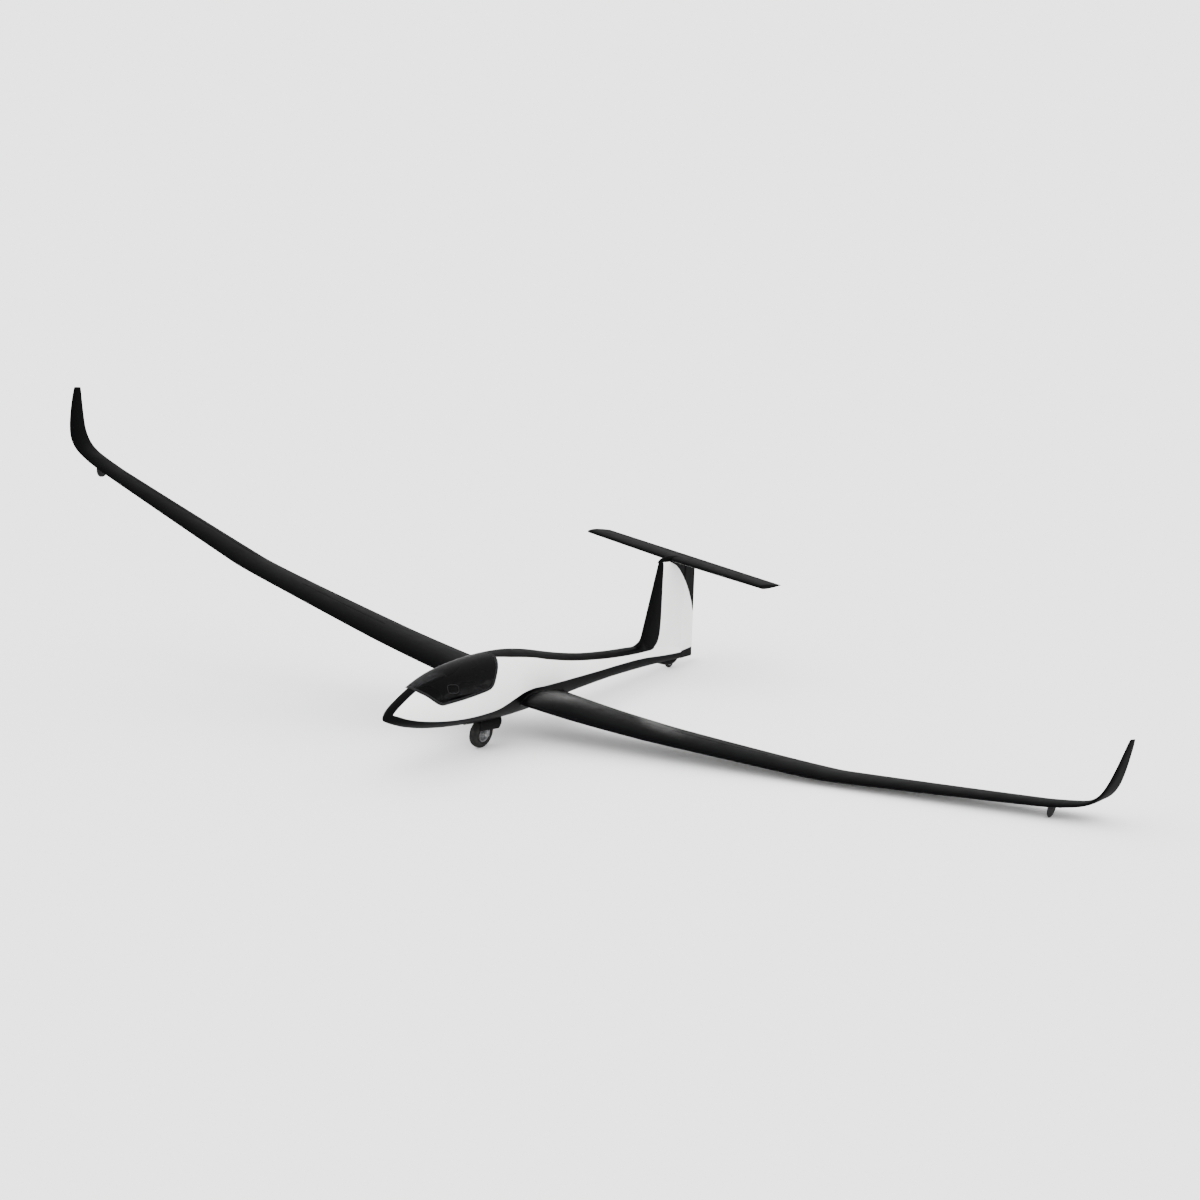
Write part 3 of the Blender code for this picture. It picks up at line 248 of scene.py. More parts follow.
def deselect_all():
    """Out of edit mode, with nothing selected."""
    active = bpy.context.view_layer.objects.active
    if active and active.mode != "OBJECT":
        bpy.ops.object.mode_set(mode="OBJECT")
    bpy.ops.object.select_all(action="DESELECT")


def pick(*pieces):
    """Only these pieces selected, the first one active."""
    deselect_all()
    for piece in pieces:
        piece.select_set(True)
    bpy.context.view_layer.objects.active = pieces[0]


def edit(piece):
    """Edit mode on one piece, selected all over."""
    pick(piece)
    bpy.ops.object.mode_set(mode="EDIT")
    bpy.ops.mesh.select_all(action="SELECT")


def done():
    """Back out of edit mode."""
    bpy.ops.object.mode_set(mode="OBJECT")


def apply_modifier(piece, kind, **settings):
    """A modifier added to a piece and applied at once."""
    pick(piece)
    bpy.ops.object.modifier_add(type=kind)
    change = piece.modifiers[-1]
    for key, value in settings.items():
        setattr(change, key, value)
    bpy.ops.object.modifier_apply(modifier=change.name)


def cut(piece, tool, operation="DIFFERENCE"):
    """The piece is cut by a tool, whose own finish lands on the cut faces, and the tool is thrown away."""
    apply_modifier(
        piece, "BOOLEAN", object=tool, operation=operation, solver="EXACT", material_mode="TRANSFER"
    )
    bpy.data.objects.remove(tool)


def skin(name, rings):
    """A closed skin through rings of equally many points, rolled up from a flat sheet."""
    deselect_all()
    count = len(rings[0])
    bpy.ops.mesh.primitive_grid_add(x_subdivisions=len(rings) - 1, y_subdivisions=count, size=2)
    piece = bpy.context.object
    piece.name = name
    piece.data.name = name
    for vert in piece.data.vertices:
        ring = round((vert.co.x + 1) / 2 * (len(rings) - 1))
        step = round((vert.co.y + 1) / 2 * count) % count
        vert.co = rings[ring][step]
    bpy.ops.object.mode_set(mode="EDIT")
    bpy.ops.mesh.select_all(action="SELECT")
    bpy.ops.mesh.remove_doubles(threshold=MERGE)
    bpy.ops.mesh.delete_loose(use_verts=True, use_edges=True, use_faces=False)
    bpy.ops.mesh.select_all(action="SELECT")
    bpy.ops.mesh.fill_holes(sides=0)
    bpy.ops.mesh.select_all(action="SELECT")
    bpy.ops.mesh.normals_make_consistent(inside=False)
    done()
    return piece


def sheet(name, lines):
    """An open sheet through lines of equally many points, its faces turned up."""
    deselect_all()
    rows = len(lines) - 1
    steps = len(lines[0]) - 1
    bpy.ops.mesh.primitive_grid_add(x_subdivisions=rows, y_subdivisions=steps, size=2)
    piece = bpy.context.object
    piece.name = name
    piece.data.name = name
    for vert in piece.data.vertices:
        vert.co = lines[round((vert.co.x + 1) / 2 * rows)][round((vert.co.y + 1) / 2 * steps)]
    piece.data.update()
    if sum(face.normal.z for face in piece.data.polygons) < 0:
        edit(piece)
        bpy.ops.mesh.flip_normals()
        done()
    return piece


def block(name, low, high):
    """A box between two corners."""
    deselect_all()
    low = Vector(low)
    high = Vector(high)
    bpy.ops.mesh.primitive_cube_add(size=1, location=(low + high) / 2)
    piece = bpy.context.object
    piece.name = name
    piece.scale = high - low
    bpy.ops.object.transform_apply(location=True, rotation=True, scale=True)
    return piece


def turned(name, profile, centre, steps=72):
    """A profile of radius and place along x, turned round an axle."""
    rings = []
    for step in range(steps + 1):
        angle = 2 * math.pi * (step % steps) / steps
        ring = []
        for radius, along in profile:
            y = centre[1] + radius * math.cos(angle)
            z = centre[2] + radius * math.sin(angle)
            ring.append((centre[0] + along, y, z))
        rings.append(ring)
    return skin(name, rings)


def turned_aft(name, profile, place, steps):
    """A profile of radius and height, turned round a line that points aft from a place."""
    piece = turned(name, profile, (0.0, 0.0, 0.0), steps)
    piece.data.transform(Matrix.Translation(place) @ Matrix.Rotation(math.pi / 2, 4, "Z"))
    return piece


def rod(name, start, end, radius, sides=24, edge=0.0):
    """A round or many-sided bar between two points, with softened ends."""
    start = Vector(start)
    end = Vector(end)
    deselect_all()
    bpy.ops.mesh.primitive_cylinder_add(
        vertices=sides, radius=radius, depth=(end - start).length, location=(start + end) / 2,
        rotation=(end - start).to_track_quat("Z", "Y").to_euler(),
    )
    piece = bpy.context.object
    piece.name = name
    bpy.ops.object.transform_apply(location=True, rotation=True, scale=True)
    if edge:
        apply_modifier(piece, "BEVEL", width=edge, segments=2, limit_method="ANGLE")
    return piece


def soft_block(name, low, high, edge, segments=3):
    """A box with rounded edges."""
    piece = block(name, low, high)
    apply_modifier(piece, "BEVEL", width=edge, segments=segments, limit_method="NONE")
    return piece


def soften(piece, width):
    """Rounds the sharp edges of a piece."""
    apply_modifier(
        piece, "BEVEL", width=width, segments=2, limit_method="ANGLE", angle_limit=math.radians(50)
    )


def curved(points, steps=6, closed=False):
    """A smooth path through points."""
    knots = [Vector(point) for point in points]
    if closed:
        knots = [knots[-1]] + knots + knots[:2]
    else:
        knots = [knots[0] * 2 - knots[1]] + knots + [knots[-1] * 2 - knots[-2]]
    path = []
    for before, low, high, after in zip(knots, knots[1:], knots[2:], knots[3:]):
        for step in range(steps):
            t = step / steps
            path.append(0.5 * (
                2 * low + (high - before) * t + (2 * before - 5 * low + 4 * high - after) * t**2
                + (3 * low - before - 3 * high + after) * t**3
            ))
    return path if closed else path + [knots[-2]]


def disc(radius, count):
    """Points on a circle."""
    return [
        (radius * math.cos(2 * math.pi * step / count), radius * math.sin(2 * math.pi * step / count))
        for step in range(count)
    ]


def webbing(width, thickness):
    """The section of a woven strap, with rounded edges."""
    half = width / 2 - thickness / 2
    section = []
    for step in range(5):
        angle = -math.pi / 2 + math.pi * step / 4
        section.append((half + thickness / 2 * math.cos(angle), thickness / 2 * math.sin(angle)))
    return section + [(-a, -b) for a, b in section]


def swept(name, path, section, up=Vector((0.0, 0.0, 1.0)), closed=False):
    """A section carried along a path, its thickness kept towards one direction or one for each point."""
    rings = []
    count = len(path)
    for index, here in enumerate(path):
        if closed:
            ahead = path[(index + 1) % count] - path[index - 1]
        else:
            ahead = path[min(index + 1, count - 1)] - path[max(index - 1, 0)]
        ahead.normalize()
        lift = up[index] if isinstance(up, list) else up
        side = ahead.cross(lift).normalized()
        lift = side.cross(ahead)
        rings.append([here + side * a + lift * b for a, b in section])
    if closed:
        rings.append(rings[0])
    return skin(name, rings)


def joined(name, pieces):
    """One piece made of several."""
    pick(*pieces)
    if len(pieces) > 1:
        bpy.ops.object.join()
    whole = bpy.context.object
    whole.name = name
    whole.data.name = name
    return whole


def mirrored(piece, name):
    """The same piece on the other side of the plane of symmetry, with its own mesh."""
    twin = piece.copy()
    twin.data = piece.data.copy()
    twin.name = name
    bpy.context.scene.collection.objects.link(twin)
    twin.data.transform(Matrix.Diagonal((-1, 1, 1, 1)))
    edit(twin)
    bpy.ops.mesh.flip_normals()
    done()
    return twin


def fit_out(piece, body, look=None, replaces=(), sharp=35.0):
    """Smooth shading, the finish, the place on the parked aircraft and the body that carries the piece."""
    pick(piece)
    bpy.ops.object.transform_apply(location=True, rotation=True, scale=True)
    piece.matrix_world = AIRFRAME
    bpy.ops.object.transform_apply(location=True, rotation=True, scale=True)
    bpy.ops.object.shade_smooth_by_angle(angle=math.radians(sharp))
    if look:
        piece.data.materials.clear()
        piece.data.materials.append(look)
    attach(piece, body)
    if replaces:
        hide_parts(*replaces)
    return piece


def fit_out_pair(left, body, look, node=None, sharp=35.0):
    """A left piece and its mirrored twin, both on the airframe or each on the body of its own side."""
    right = mirrored(left, left.name.replace("left", "right"))
    for piece, side in ((left, "_left"), (right, "_right")):
        carrier = body if body == "airframe" else body + side
        fit_out(piece, carrier, look, [node + side] if node else (), sharp)


# Lines and sections


def signed_power(value, power):
    """A power of a value's size, with the value's own sign."""
    return math.copysign(abs(value) ** power, value)


def smooth_line(rows, position, column):
    """A value on a smooth curve through rows sorted by their first value."""
    index = 0
    while index < len(rows) - 2 and position > rows[index + 1][0]:
        index += 1
    before = rows[max(index - 1, 0)]
    low = rows[index]
    high = rows[index + 1]
    after = rows[min(index + 2, len(rows) - 1)]
    width = high[0] - low[0]
    share = (position - low[0]) / width
    slope_low = (high[column] - before[column]) / (high[0] - before[0]) * width
    slope_high = (after[column] - low[column]) / (after[0] - low[0]) * width
    square = share * share
    cube = square * share
    return (
        (2 * cube - 3 * square + 1) * low[column]
        + (cube - 2 * square + share) * slope_low
        + (3 * square - 2 * cube) * high[column]
        + (cube - square) * slope_high
    )


def straight_line(rows, position):
    """A value on straight lines through pairs sorted by their first value."""
    for low, high in zip(rows, rows[1:]):
        if position <= high[0] or high is rows[-1]:
            share = (position - low[0]) / (high[0] - low[0])
            return low[1] + share * (high[1] - low[1])


def spread(low, high, count):
    """Evenly spaced values from low to high, both included."""
    return [low + (high - low) * step / count for step in range(count + 1)]


def hull_section(y, inset=0.0):
    """The top, the belly, half the width and the widest height of the fuselage at a station."""
    top, belly, half_width = (smooth_line(FUSELAGE_LINES, y, column) for column in (1, 2, 3))
    top -= inset
    belly += inset
    return top, belly, half_width - inset, belly + WIDEST_HEIGHT * (top - belly)


def hull_point(y, section, angle):
    """A point of the fuselage's section, at an angle from its left side over the top."""
    top, belly, half_width, middle = section
    side = math.cos(angle)
    rise = math.sin(angle)
    height = (top - middle) if rise > 0 else (middle - belly)
    power = 2 / SECTION_POWER
    return half_width * signed_power(side, power), y, middle + height * signed_power(rise, power)


def hull_ring(y, inset=0.0, count=HULL_POINTS):
    """The fuselage's section at a station, drawn inside its skin by the inset."""
    section = hull_section(y, inset)
    return [hull_point(y, section, 2 * math.pi * step / count) for step in range(count)]


def hull_rings(start, end, inset=0.0, longest=HULL_STEP, count=HULL_POINTS):
    """Rings close together at the nose's tip and evenly spaced behind it."""
    stations = [start]
    while stations[-1] < end - longest * 1.2:
        stations.append(stations[-1] + min(longest, 0.006 + stations[-1] * 0.25))
    return [hull_ring(y, inset, count) for y in stations + [end]]


def hull_side(y, z, inset=0.0):
    """Half the width of the fuselage at a height."""
    top, belly, half_width, middle = hull_section(y)
    height = (top - inset - middle) if z > middle else (middle - belly - inset)
    share = min(abs(z - middle) / height, 1.0)
    return (half_width - inset) * (1 - share ** SECTION_POWER) ** (1 / SECTION_POWER)


def hull_height(x, y, side):
    """The height of the fuselage's skin away from its middle: side 1 for the top, -1 for the belly."""
    top, belly, half_width, middle = hull_section(y)
    share = min(abs(x) / half_width, 1.0)
    reach = (top - middle) if side > 0 else (middle - belly)
    return middle + side * reach * (1 - share ** SECTION_POWER) ** (1 / SECTION_POWER)


def across(outline, half_width):
    """A side-view outline in y and z carried across the fuselage."""
    return [[(side * half_width, y, z) for y, z in outline] for side in (-1, 1)]


def rounded(outline, steps=5):
    """The same closed outline drawn as a smooth curve through its points."""
    count = len(outline)
    knots = [Vector(point) for point in outline]
    drawn = []
    for index in range(count):
        before, low, high, after = (knots[(index + shift) % count] for shift in (-1, 0, 1, 2))
        widest = max((high - before).length, (after - low).length)
        pull = min(0.5, 0.5 * (high - low).length / widest * 2)
        for step in range(steps):
            t = step / steps
            slope_low = (high - before) * 0.5 * pull
            slope_high = (after - low) * 0.5 * pull
            drawn.append(tuple(
                (2 * t**3 - 3 * t**2 + 1) * low + (t**3 - 2 * t**2 + t) * slope_low
                + (3 * t**2 - 2 * t**3) * high + (t**3 - t**2) * slope_high
            ))
    return drawn


def way_off(point, outline):
    """The shortest way from a point to a closed outline."""
    ways = []
    for index, corner in enumerate(outline):
        low = Vector(outline[index - 1])
        along = Vector(corner) - low
        share = min(max((point - low).dot(along) / along.length_squared, 0.0), 1.0)
        ways.append((point - low - along * share).length)
    return min(ways)


def shrink(outline, distance):
    """A closed outline moved inward by a distance, without the loops that its tight bends would give."""
    count = len(outline)
    area = 0.0
    for index, (y, z) in enumerate(outline):
        area += outline[index - 1][0] * z - y * outline[index - 1][1]
    turn = 1 if area > 0 else -1
    moved = []
    for index in range(count):
        here = Vector(outline[index])
        before = (here - Vector(outline[index - 1])).normalized()
        after = (Vector(outline[(index + 1) % count]) - here).normalized()
        bisector = Vector((-before.y - after.y, before.x + after.x)).normalized() * turn
        inward = Vector((-before.y, before.x)) * turn
        moved.append(here + bisector * distance / max(bisector.dot(inward), 0.3))
    return [tuple(point) for point in moved if way_off(point, outline) > 0.97 * distance]


def half_thickness(share, thickness):
    """The usual four-digit thickness curve of a wing section, at a share of its chord."""
    root = math.sqrt(max(share, 0.0))
    curve = 0.2969 * root - 0.1260 * share - 0.3516 * share**2 + 0.2843 * share**3 - 0.1016 * share**4
    return 5 * thickness * curve


def foil_point(edge, chord, thickness, camber, lean, twist, share, side):
    """A point on a wing section: share of the chord, and side 1 above or -1 below."""
    normal = Vector((-math.sin(lean), 0.0, math.cos(lean)))
    aft = Vector((0.0, math.cos(twist), 0.0)) + normal * math.sin(twist)
    rise = 4 * camber * share * (1 - share) + side * half_thickness(share, thickness)
    return Vector(edge) + chord * (aft * share + normal * rise)


def foil_ring(*station):
    """A whole wing section, from the trailing edge over the top and back below."""
    upper = [foil_point(*station, share, 1) for share in reversed(FOIL_SHARES)]
    return upper + [foil_point(*station, share, -1) for share in FOIL_SHARES[1:]]


def wing_station(x):
    """Edge, chord, thickness, camber, lean and twist of the wing at a distance from the centre."""
    y = smooth_line(WING_LINE, x, 1)
    z = smooth_line(WING_LINE, x, 2)
    root_x = WING_LINE[0][0]
    inner_x = max(x - 0.02, root_x)
    outer_x = min(x + 0.02, WING_LINE[-1][0])
    rise = smooth_line(WING_LINE, outer_x, 2) - smooth_line(WING_LINE, inner_x, 2)
    lean = math.atan2(rise, outer_x - inner_x) * min(1.0, (x - root_x) / 0.3)
    chord = straight_line([(0.0, ROOT_CHORD), (KINK_X, KINK_CHORD), (TIP_X, TIP_CHORD)], x)
    thickness = straight_line([(0.0, ROOT_THICKNESS), (TIP_X, TIP_THICKNESS)], x)
    return (x, y, z), chord, thickness, CAMBER, lean, WING_TWIST


def wing_point(x, share, side):
    """A point on the wing's skin: share of the chord, and side 1 above or -1 below."""
    return foil_point(*wing_station(x), share, side)


def panel_axes(inner_x, outer_x, share):
    """The unit vectors outward along a wing panel and up from it."""
    inner = wing_point(inner_x, share, 1)
    outer = wing_point(outer_x, share, 1)
    lean = math.atan2(outer.z - inner.z, outer.x - inner.x)
    outward = Vector((math.cos(lean), 0.0, math.sin(lean)))
    return outward, Vector((-outward.z, 0.0, outward.x))


# Finishes


def new_look(name):
    """A new finish, with its nodes and its shader."""
    look = bpy.data.materials.new(name)
    look.use_nodes = True
    tree = look.node_tree
    return look, tree, tree.nodes["Principled BSDF"]


def add_node(tree, kind, inputs=None, **settings):
    """A shader node, each input linked to a socket or set to a value."""
    made = tree.nodes.new("ShaderNode" + kind)
    for key, value in settings.items():
        setattr(made, key, value)
    for key, value in (inputs or {}).items():
        if isinstance(value, bpy.types.NodeSocket):
            tree.links.new(value, made.inputs[key])
        else:
            made.inputs[key].default_value = value
    return made


def math_node(tree, operation, first, second):
    """A sum, product or the like of two values."""
    return add_node(tree, "Math", {0: first, 1: second}, operation=operation).outputs[0]


def airframe_coordinates(tree):
    """Places on the piece, in the airframe's own frame."""
    back = AIRFRAME.inverted()
    texture = add_node(tree, "TexCoord")
    mapping = add_node(tree, "Mapping", {
        "Vector": texture.outputs["Object"],
        "Location": back.to_translation(),
        "Rotation": back.to_euler("XYZ"),
    })
    return mapping.outputs["Vector"]


def noise(tree, where, scale, detail=3.0, roughness=0.5):
    """A value that wanders between 0 and 1 over the piece."""
    return add_node(tree, "TexNoise", {
        "Vector": where, "Scale": scale, "Detail": detail, "Roughness": roughness,
    }).outputs["Fac"]


def remap(tree, value, low, high, to_low, to_high):
    """A value carried from one range to another, and held at its ends."""
    return add_node(tree, "MapRange", {
        "Value": value, "From Min": low, "From Max": high, "To Min": to_low, "To Max": to_high,
    }).outputs["Result"]


def mix_colour(tree, factor, first, second):
    """The first colour at factor 0, the second at 1."""
    mixer = add_node(tree, "Mix", data_type="RGBA")
    for socket, value in ((0, factor), (6, first), (7, second)):
        if isinstance(value, bpy.types.NodeSocket):
            tree.links.new(value, mixer.inputs[socket])
        else:
            mixer.inputs[socket].default_value = value
    return mixer.outputs[2]


def bump(tree, shader, height, distance, strength):
    """Fine relief on a finish."""
    relief = add_node(tree, "Bump", {"Height": height, "Distance": distance, "Strength": strength})
    tree.links.new(relief.outputs["Normal"], shader.inputs["Normal"])


def drawn_line(tree, value, line, low=0.0, high=7.0, floor=-0.5, ceiling=1.0):
    """A curve through the points of a paint line, read at a value."""
    share = remap(tree, value, low, high, 0.0, 1.0)
    curve = add_node(tree, "FloatCurve", {"Value": share})
    points = [((a - low) / (high - low), (b - floor) / (ceiling - floor)) for a, b in line]
    track = curve.mapping.curves[0]
    for knot, point in zip(track.points, (points[0], points[-1])):
        knot.location = point
    for point in points[1:-1]:
        track.points.new(*point)
    curve.mapping.update()
    return remap(tree, curve.outputs["Value"], 0.0, 1.0, floor, ceiling)


def beyond(tree, value, limit, softness=0.002):
    """1 where a value is over its limit, 0 where it is under."""
    over = math_node(tree, "SUBTRACT", value, limit)
    return remap(tree, over, -softness, softness, 0.0, 1.0)


def gelcoat(tree, shader, where, mask=None, black=(0.0015, 0.0015, 0.0018, 1.0)):
    """Polished gelcoat: slight tone changes, fine dust and faint polishing haze."""
    cloud = noise(tree, where, 1.3, 4.0)
    speck = noise(tree, where, 55.0, 5.0, 0.65)
    tone = remap(tree, cloud, 0.35, 0.7, 0.0, 1.0)
    white = mix_colour(tree, tone, (0.80, 0.80, 0.785, 1.0), (0.86, 0.86, 0.85, 1.0))
    dusty = mix_colour(tree, remap(tree, speck, 0.62, 0.8, 0.0, 0.18), white, (0.55, 0.53, 0.49, 1.0))
    night = mix_colour(tree, remap(tree, speck, 0.6, 0.85, 0.0, 0.25), black, (0.006, 0.0058, 0.0055, 1.0))
    if mask is None:
        colour = night
    else:
        colour = mix_colour(tree, mask, dusty, night)
    tree.links.new(colour, shader.inputs["Base Color"])
    haze = noise(tree, where, 6.0, 6.0, 0.6)
    tree.links.new(remap(tree, haze, 0.3, 0.75, 0.30, 0.42), shader.inputs["Roughness"])
    bump(tree, shader, noise(tree, where, 18.0, 2.0), 0.0006, 0.25)


def paint_hull():
    """White gelcoat with the black belly, spine stripe and nose outline."""
    look, tree, shader = new_look("hull_paint")
    where = airframe_coordinates(tree)
    split = add_node(tree, "SeparateXYZ", {"Vector": where})
    x, y, z = (split.outputs[axis] for axis in "XYZ")
    below = beyond(tree, drawn_line(tree, y, BELLY_LINE), z)
    spine = beyond(tree, z, drawn_line(tree, y, SPINE_LINE))
    spine = math_node(tree, "MULTIPLY", spine, beyond(tree, y, SPINE_START))
    side = add_node(tree, "Math", {0: x}, operation="ABSOLUTE").outputs[0]
    stripe = math_node(tree, "MULTIPLY", beyond(tree, NOSE_STRIPE, side), beyond(tree, NOSE_STRIPE_END, y))
    nose = math_node(tree, "MAXIMUM", stripe, beyond(tree, NOSE_CAP_Y, y))
    black = math_node(tree, "MAXIMUM", math_node(tree, "MAXIMUM", below, spine), nose)
    gelcoat(tree, shader, where, black)
    shader.inputs["Specular IOR Level"].default_value = 0.15
    return look


def paint_tail():
    """White gelcoat with the black band on the fin's leading edge, and a painted shadow of the tailplane in
    black at the rudder's top.
    """
    look, tree, shader = new_look("tail_paint_with_painted_shadow")
    where = airframe_coordinates(tree)
    split = add_node(tree, "SeparateXYZ", {"Vector": where})
    y, z = split.outputs["Y"], split.outputs["Z"]
    band = beyond(tree, drawn_line(tree, z, FIN_BAND, 0.2, 1.45, 5.0, 7.0), y)
    # Painted shadow: black at the rudder's top under the tailplane, behind its line and above the line's
    # lowest height
    painted_shadow = beyond(tree, y, drawn_line(tree, z, TAILPLANE_SHADOW_EDGE, 0.6, 1.45, 5.0, 7.0))
    painted_shadow = math_node(tree, "MULTIPLY", painted_shadow, beyond(tree, z, TAILPLANE_SHADOW_EDGE[0][0]))
    below = beyond(tree, drawn_line(tree, y, BELLY_LINE), z)
    black = math_node(tree, "MAXIMUM", math_node(tree, "MAXIMUM", band, painted_shadow), below)
    gelcoat(tree, shader, where, black)
    shader.inputs["Specular IOR Level"].default_value = 0.15
    return look


def paint_black():
    """Black gelcoat all over."""
    look, tree, shader = new_look("black_paint")
    gelcoat(tree, shader, airframe_coordinates(tree))
    shader.inputs["Specular IOR Level"].default_value = 0.08
    return look


def tinted_glass():
    """Smoke-tinted acrylic with faint polishing haze."""
    look, tree, shader = new_look("canopy_tint")
    where = airframe_coordinates(tree)
    smear = noise(tree, where, 9.0, 4.0)
    tree.links.new(remap(tree, smear, 0.4, 0.8, 0.02, 0.06), shader.inputs["Roughness"])
    shader.inputs["Base Color"].default_value = (0.10, 0.10, 0.105, 1.0)
    shader.inputs["Transmission Weight"].default_value = 1.0
    shader.inputs["IOR"].default_value = 1.35
    return look


def worn_paint(name, colour, edge_colour, low, high, grain=120.0, relief=0.0004, metallic=0.0):
    """Painted or moulded stuff with a grain, uneven sheen and lighter worn edges."""
    look, tree, shader = new_look(name)
    where = airframe_coordinates(tree)
    edge = add_node(tree, "NewGeometry").outputs["Pointiness"]
    edge = remap(tree, edge, 0.52, 0.60, 0.0, 1.0)
    worn = math_node(tree, "MULTIPLY", edge, noise(tree, where, 60.0, 4.0))
    cloud = noise(tree, where, 14.0, 4.0)
    darker = [part * 0.9 for part in colour]
    shade = mix_colour(tree, remap(tree, cloud, 0.3, 0.7, 0.0, 1.0), (*colour, 1.0), (*darker, 1.0))
    tree.links.new(mix_colour(tree, worn, shade, (*edge_colour, 1.0)), shader.inputs["Base Color"])
    tree.links.new(remap(tree, cloud, 0.3, 0.7, low, high), shader.inputs["Roughness"])
    shader.inputs["Metallic"].default_value = metallic
    bump(tree, shader, noise(tree, where, grain, 3.0), relief, 0.5)
    return look


def rubber():
    """Tyre rubber, dusty where it meets the ground."""
    look, tree, shader = new_look("dusty_tyre_rubber")
    where = airframe_coordinates(tree)
    dust = noise(tree, where, 22.0, 6.0, 0.7)
    spots = remap(tree, dust, 0.45, 0.75, 0.0, 0.6)
    colour = mix_colour(tree, spots, (0.009, 0.009, 0.009, 1.0), (0.045, 0.040, 0.034, 1.0))
    tree.links.new(colour, shader.inputs["Base Color"])
    tree.links.new(remap(tree, dust, 0.3, 0.7, 0.7, 0.92), shader.inputs["Roughness"])
    bump(tree, shader, noise(tree, where, 260.0, 3.0), 0.0006, 0.6)
    return look


def threads(tree, value, density):
    """A wave along a value, one thread for each turn."""
    turns = math_node(tree, "MULTIPLY", value, density)
    return add_node(tree, "Math", {0: turns}, operation="SINE").outputs[0]


def seat_cloth():
    """Woven wool-mix seat cloth, with a fine two-way weave and a soft sheen."""
    look, tree, shader = new_look("seat_cloth")
    where = airframe_coordinates(tree)
    split = add_node(tree, "SeparateXYZ", {"Vector": where})
    along = math_node(tree, "ADD", split.outputs["Y"], split.outputs["Z"])
    warp = threads(tree, split.outputs["X"], 2400.0)
    weave = math_node(tree, "MULTIPLY", warp, threads(tree, along, 2400.0))
    cloud = noise(tree, where, 24.0, 5.0)
    tone = remap(tree, cloud, 0.3, 0.7, 0.0, 1.0)
    shade = mix_colour(tree, tone, (0.036, 0.039, 0.046, 1.0), (0.054, 0.057, 0.065, 1.0))
    thread = remap(tree, weave, -1.0, 1.0, 0.0, 0.35)
    tree.links.new(mix_colour(tree, thread, shade, (0.11, 0.113, 0.124, 1.0)), shader.inputs["Base Color"])
    tree.links.new(remap(tree, cloud, 0.3, 0.7, 0.82, 0.95), shader.inputs["Roughness"])
    shader.inputs["Sheen Weight"].default_value = 0.25
    bump(tree, shader, weave, 0.0004, 0.6)
    return look


def strap_webbing():
    """Flat woven belt with a rib across it."""
    look, tree, shader = new_look("strap_webbing")
    where = airframe_coordinates(tree)
    split = add_node(tree, "SeparateXYZ", {"Vector": where})
    along = math_node(tree, "ADD", split.outputs["Y"], split.outputs["Z"])
    rib = threads(tree, along, 1800.0)
    cloud = noise(tree, where, 40.0, 4.0)
    tone = remap(tree, cloud, 0.3, 0.7, 0.0, 1.0)
    shade = mix_colour(tree, tone, (0.008, 0.026, 0.095, 1.0), (0.015, 0.042, 0.135, 1.0))
    ribbed = mix_colour(tree, remap(tree, rib, -1.0, 1.0, 0.0, 0.3), shade, (0.03, 0.065, 0.19, 1.0))
    tree.links.new(ribbed, shader.inputs["Base Color"])
    tree.links.new(remap(tree, cloud, 0.3, 0.7, 0.6, 0.75), shader.inputs["Roughness"])
    shader.inputs["Sheen Weight"].default_value = 0.15
    bump(tree, shader, rib, 0.0003, 0.6)
    return look


LOOKS = {
    "hull": paint_hull(),
    "tail": paint_tail(),
    "black": paint_black(),
    "glass": tinted_glass(),
    "frame": worn_paint("canopy_frame_paint", (0.005, 0.005, 0.006), (0.03, 0.03, 0.03), 0.35, 0.5),
    "interior": worn_paint(
        "cockpit_paint", (0.26, 0.265, 0.27), (0.38, 0.38, 0.38), 0.55, 0.75, 300.0, 0.0006
    ),
    "plastic": worn_paint("moulded_plastic", (0.012, 0.012, 0.013), (0.05, 0.05, 0.05), 0.45, 0.62, 500.0),
    "steel": worn_paint(
        "steel_tube_paint", (0.22, 0.225, 0.24), (0.42, 0.41, 0.40), 0.35, 0.5, 90.0, 0.0003, 0.3
    ),
    "alloy": worn_paint("cast_alloy", (0.55, 0.56, 0.58), (0.8, 0.8, 0.8), 0.28, 0.42, 150.0, 0.0004, 0.9),
    "blue": worn_paint("blue_handle_plastic", (0.008, 0.045, 0.30), (0.06, 0.13, 0.40), 0.35, 0.5, 200.0),
    "rubber": rubber(),
    "cloth": seat_cloth(),
    "webbing": strap_webbing(),
    "dial": worn_paint(
        "dial_face_paint", (0.004, 0.004, 0.004), (0.02, 0.02, 0.02), 0.6, 0.75, 300.0, 0.0001
    ),
    "mark": worn_paint("dial_mark_paint", (0.80, 0.80, 0.76), (0.8, 0.8, 0.8), 0.5, 0.65, 300.0, 0.0001),
    "red": worn_paint("red_knob_plastic", (0.28, 0.008, 0.006), (0.42, 0.06, 0.06), 0.35, 0.5, 200.0),
}


# Fuselage


